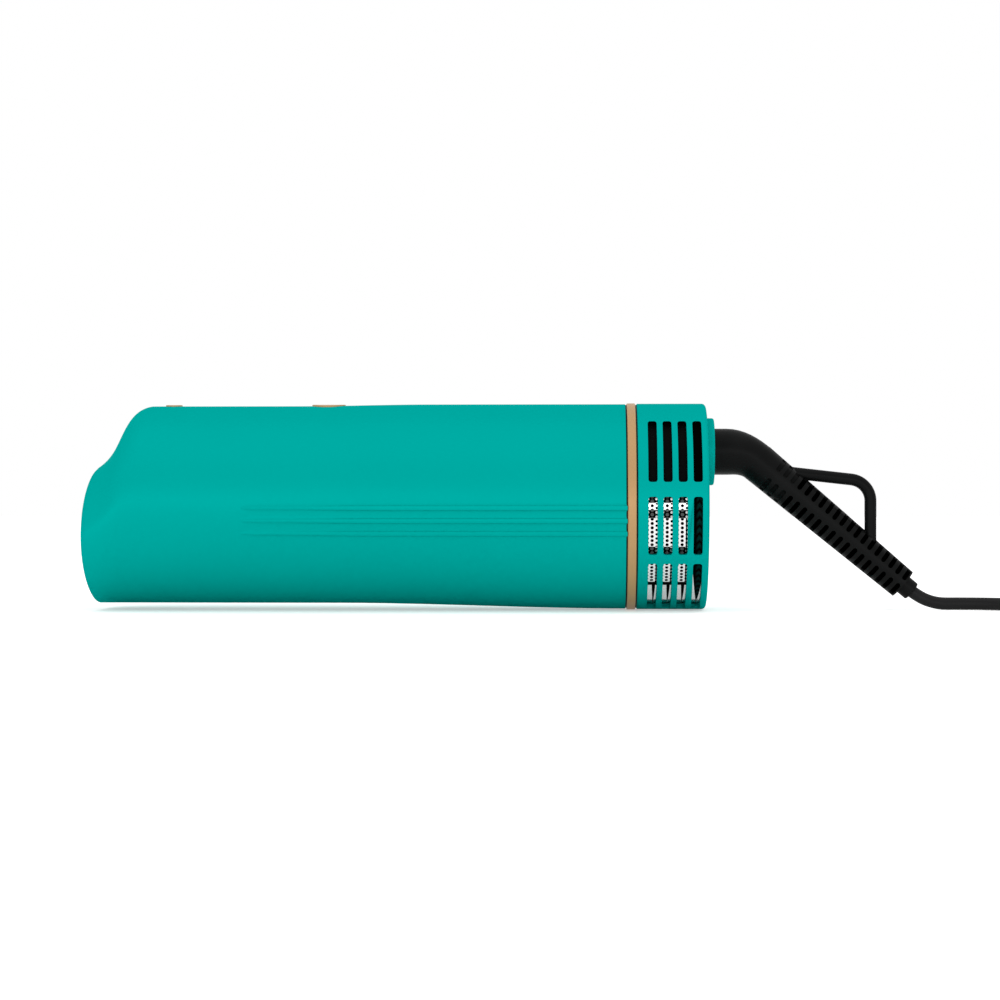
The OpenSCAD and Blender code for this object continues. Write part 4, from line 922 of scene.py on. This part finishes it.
# buttons
def buttonGrid(x, diameter, low):
    # a flanged disc whose top is rounded across as the barrel is: z = centre + sqrt(r * r - y * y)
    radius = float(topReach(x) + bottomReach(x)) / 2 + buttons["proud"]
    centre = float(topReach(x) - bottomReach(x)) / 2
    r, e = diameter / 2, 0.28
    foot = np.array([
        [low, 0], [low, r + buttons["flange"]], [low + buttons["flangeThick"], r + buttons["flange"]],
        [low + buttons["flangeThick"], r], [low + buttons["flangeThick"] + 0.3, r],
    ])
    grid = revolve(foot, 96, (x, 0), "z")
    edge = arc((-e, r - e), e, 90, 0, 6)
    edge = np.vstack([edge, [[-0.01, r * 0.75], [-0.02, r * 0.5], [-0.02, r * 0.25], [-0.02, 0]]])
    top = revolve(edge, 96, (x, 0), "z")
    top[..., 2] += centre + np.sqrt(radius ** 2 - top[..., 1] ** 2)
    return toFrame(np.vstack([grid, top]))


for name, (x, diameter) in (("power", buttons["power"]), ("mode", buttons["mode"])):
    low = (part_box(f"{name}_button")[0].z - place["axisZ"]) / mm
    button = makeSurface(f"{name}Cap", buttonGrid(x, diameter, low))
    settle(button, looks["trim"], f"{name}_button", "trim", f"{name}_button")

# cord boot
loop = dict(start=(14.6, -8.3), tiltDeg=6.4, legX=52.7, legLength=26, corner=9.0, rod=5.0, parts=60)
bootReach = dict(base=9.7, mid=8.2, step=0.1, tip=6.55, sunk=8, leadParts=16, bendParts=60, runParts=160)


def inPlane(flat):  # (x, z) pairs as points of the middle plane
    return np.column_stack([flat[:, 0], 0 * flat[:, 0], flat[:, 1]])


def bootLine():  # lead, bend and run of the centre line; the radius eases over the bend, then shrinks evenly
    leadParts, bendParts = bootReach["leadParts"], bootReach["bendParts"]
    bendX, low = outlet["bossEnd"] + outlet["lead"], outlet["rise"] - outlet["bendRadius"]
    leadX = np.linspace(bendX - bootReach["sunk"], bendX, leadParts + 1)[:-1]
    turn = arc([bendX, low], outlet["bendRadius"], 90, 90 - outlet["bendDeg"], bendParts)
    s = np.linspace(0, outlet["run"], bootReach["runParts"])[1:]
    run = turn[-1] + s[:, None] * slopeOut[[0, 2]]
    radii = np.concatenate([
        np.full(leadParts, bootReach["base"]),
        mix(bootReach["base"], bootReach["mid"], smooth(np.linspace(0, 1, bendParts))),
        mix(bootReach["mid"] + bootReach["step"], bootReach["tip"], s / (outlet["run"] + 1)),
    ])
    return inPlane(np.vstack([np.column_stack([leadX, np.full(leadParts, outlet["rise"])]), turn, run])), radii


def loopLine():  # a straight rod, an arc, then a leg straight down
    tilt, parts = math.radians(loop["tiltDeg"]), loop["parts"]
    start = bendVertex[[0, 2]] + loop["start"]
    legX, cut = bendVertex[0] + loop["legX"], loop["corner"] * math.tan((math.pi / 2 - tilt) / 2)
    turnZ = start[1] - (legX - start[0]) * math.tan(tilt) - cut
    turn = arc([legX - loop["corner"], turnZ], loop["corner"], 90 - loop["tiltDeg"], 0, parts)
    rod = start + np.linspace(0, 1, parts)[:-1, None] * (turn[0] - start)
    leg = turn[-1] - np.linspace(0, loop["legLength"], parts)[1:, None] * [0.0, 1.0]
    flat = np.vstack([rod, turn, leg])
    return inPlane(flat), np.full(len(flat), loop["rod"] / 2)


boot = copyOfNode("cord_boot", "cordBoot", 26)
roundNormals(boot, bootLine(), loopLine())
settle(boot, looks["boot_rubber"], "dryer", "boot_rubber", "cord_boot")
sheathStart = bendVertex + slopeOut * (bendReach + outlet["run"])
sheathLine = toFrame(sheathStart + slopeOut * np.array([0, 0.02, 4.4, 4.7, 4.95, 5.09, 5.1])[:, None])
sheathReach = np.array([4.1, 4.1, 4.1, 4.02, 3.8, 3.4, 2.7]) * mm
sheath = makeSurface("cordSheath", sweep(sheathLine, sheathReach, 48, (slopeOut, slopeOut)), capEnds=True)
settle(sheath, looks["boot_rubber"], "dryer", "boot_rubber", "cord_sheath")
print("dryer: buttons and boot made")

# floor, world and lamps
ground = dict(half=6.0, z=-0.0001)
floorCorners = [(x * ground["half"], y * ground["half"], ground["z"]) for x, y in ((-1, -1), (1, -1), (1, 1), (-1, 1))]
floor = bpy.data.objects.new("floor", bpy.data.meshes.new("floor"))
floor.data.from_pydata(floorCorners, [], [(0, 1, 2, 3)])
bpy.context.scene.collection.objects.link(floor)
pale = Finish("paleFloor", baseColor=(0.96, 0.96, 0.96), roughness=0.9, specularLevel=0.0)
pale.set(emissionColor=(1, 1, 1), emissionStrength=pale.raysOf("Camera", "Glossy", "Transmission") * 0.42)
floor.data.materials.append(pale.material)

world = bpy.data.worlds.new("studio")
bpy.context.scene.world = world
world.use_nodes = True
world.node_tree.nodes.clear()
air = Shader(world.node_tree)
seen = air.raysOf("Camera", "Glossy", "Transmission")
sky = air.node("Background", {}, [(1.0, 1.0, 1.0), seen * 0.14 + 0.86])
air.node("OutputWorld", {}, [sky])

lamps = dict(  # place, size, watts and what it points at
    overhead=((0.0, -0.3, 1.5), (2.0, 1.6), 3.6, (0, 0, 0.04)),
    front=((0.0, -2.2, 0.28), (4.0, 0.5), 11.0, (0, 0, 0.03)),
)
for name, (spot, size, watts, target) in lamps.items():
    lamp = bpy.data.objects.new(name, bpy.data.lights.new(name, "AREA"))
    lamp.data.shape, lamp.data.size, lamp.data.size_y, lamp.data.energy = "RECTANGLE", *size, watts
    lamp.location = spot
    lamp.rotation_euler = (Vector(target) - Vector(spot)).to_track_quat("-Z", "Y").to_euler()
    bpy.context.scene.collection.objects.link(lamp)
bpy.context.scene.view_settings.view_transform = "Standard"
print("dryer: stage lit")
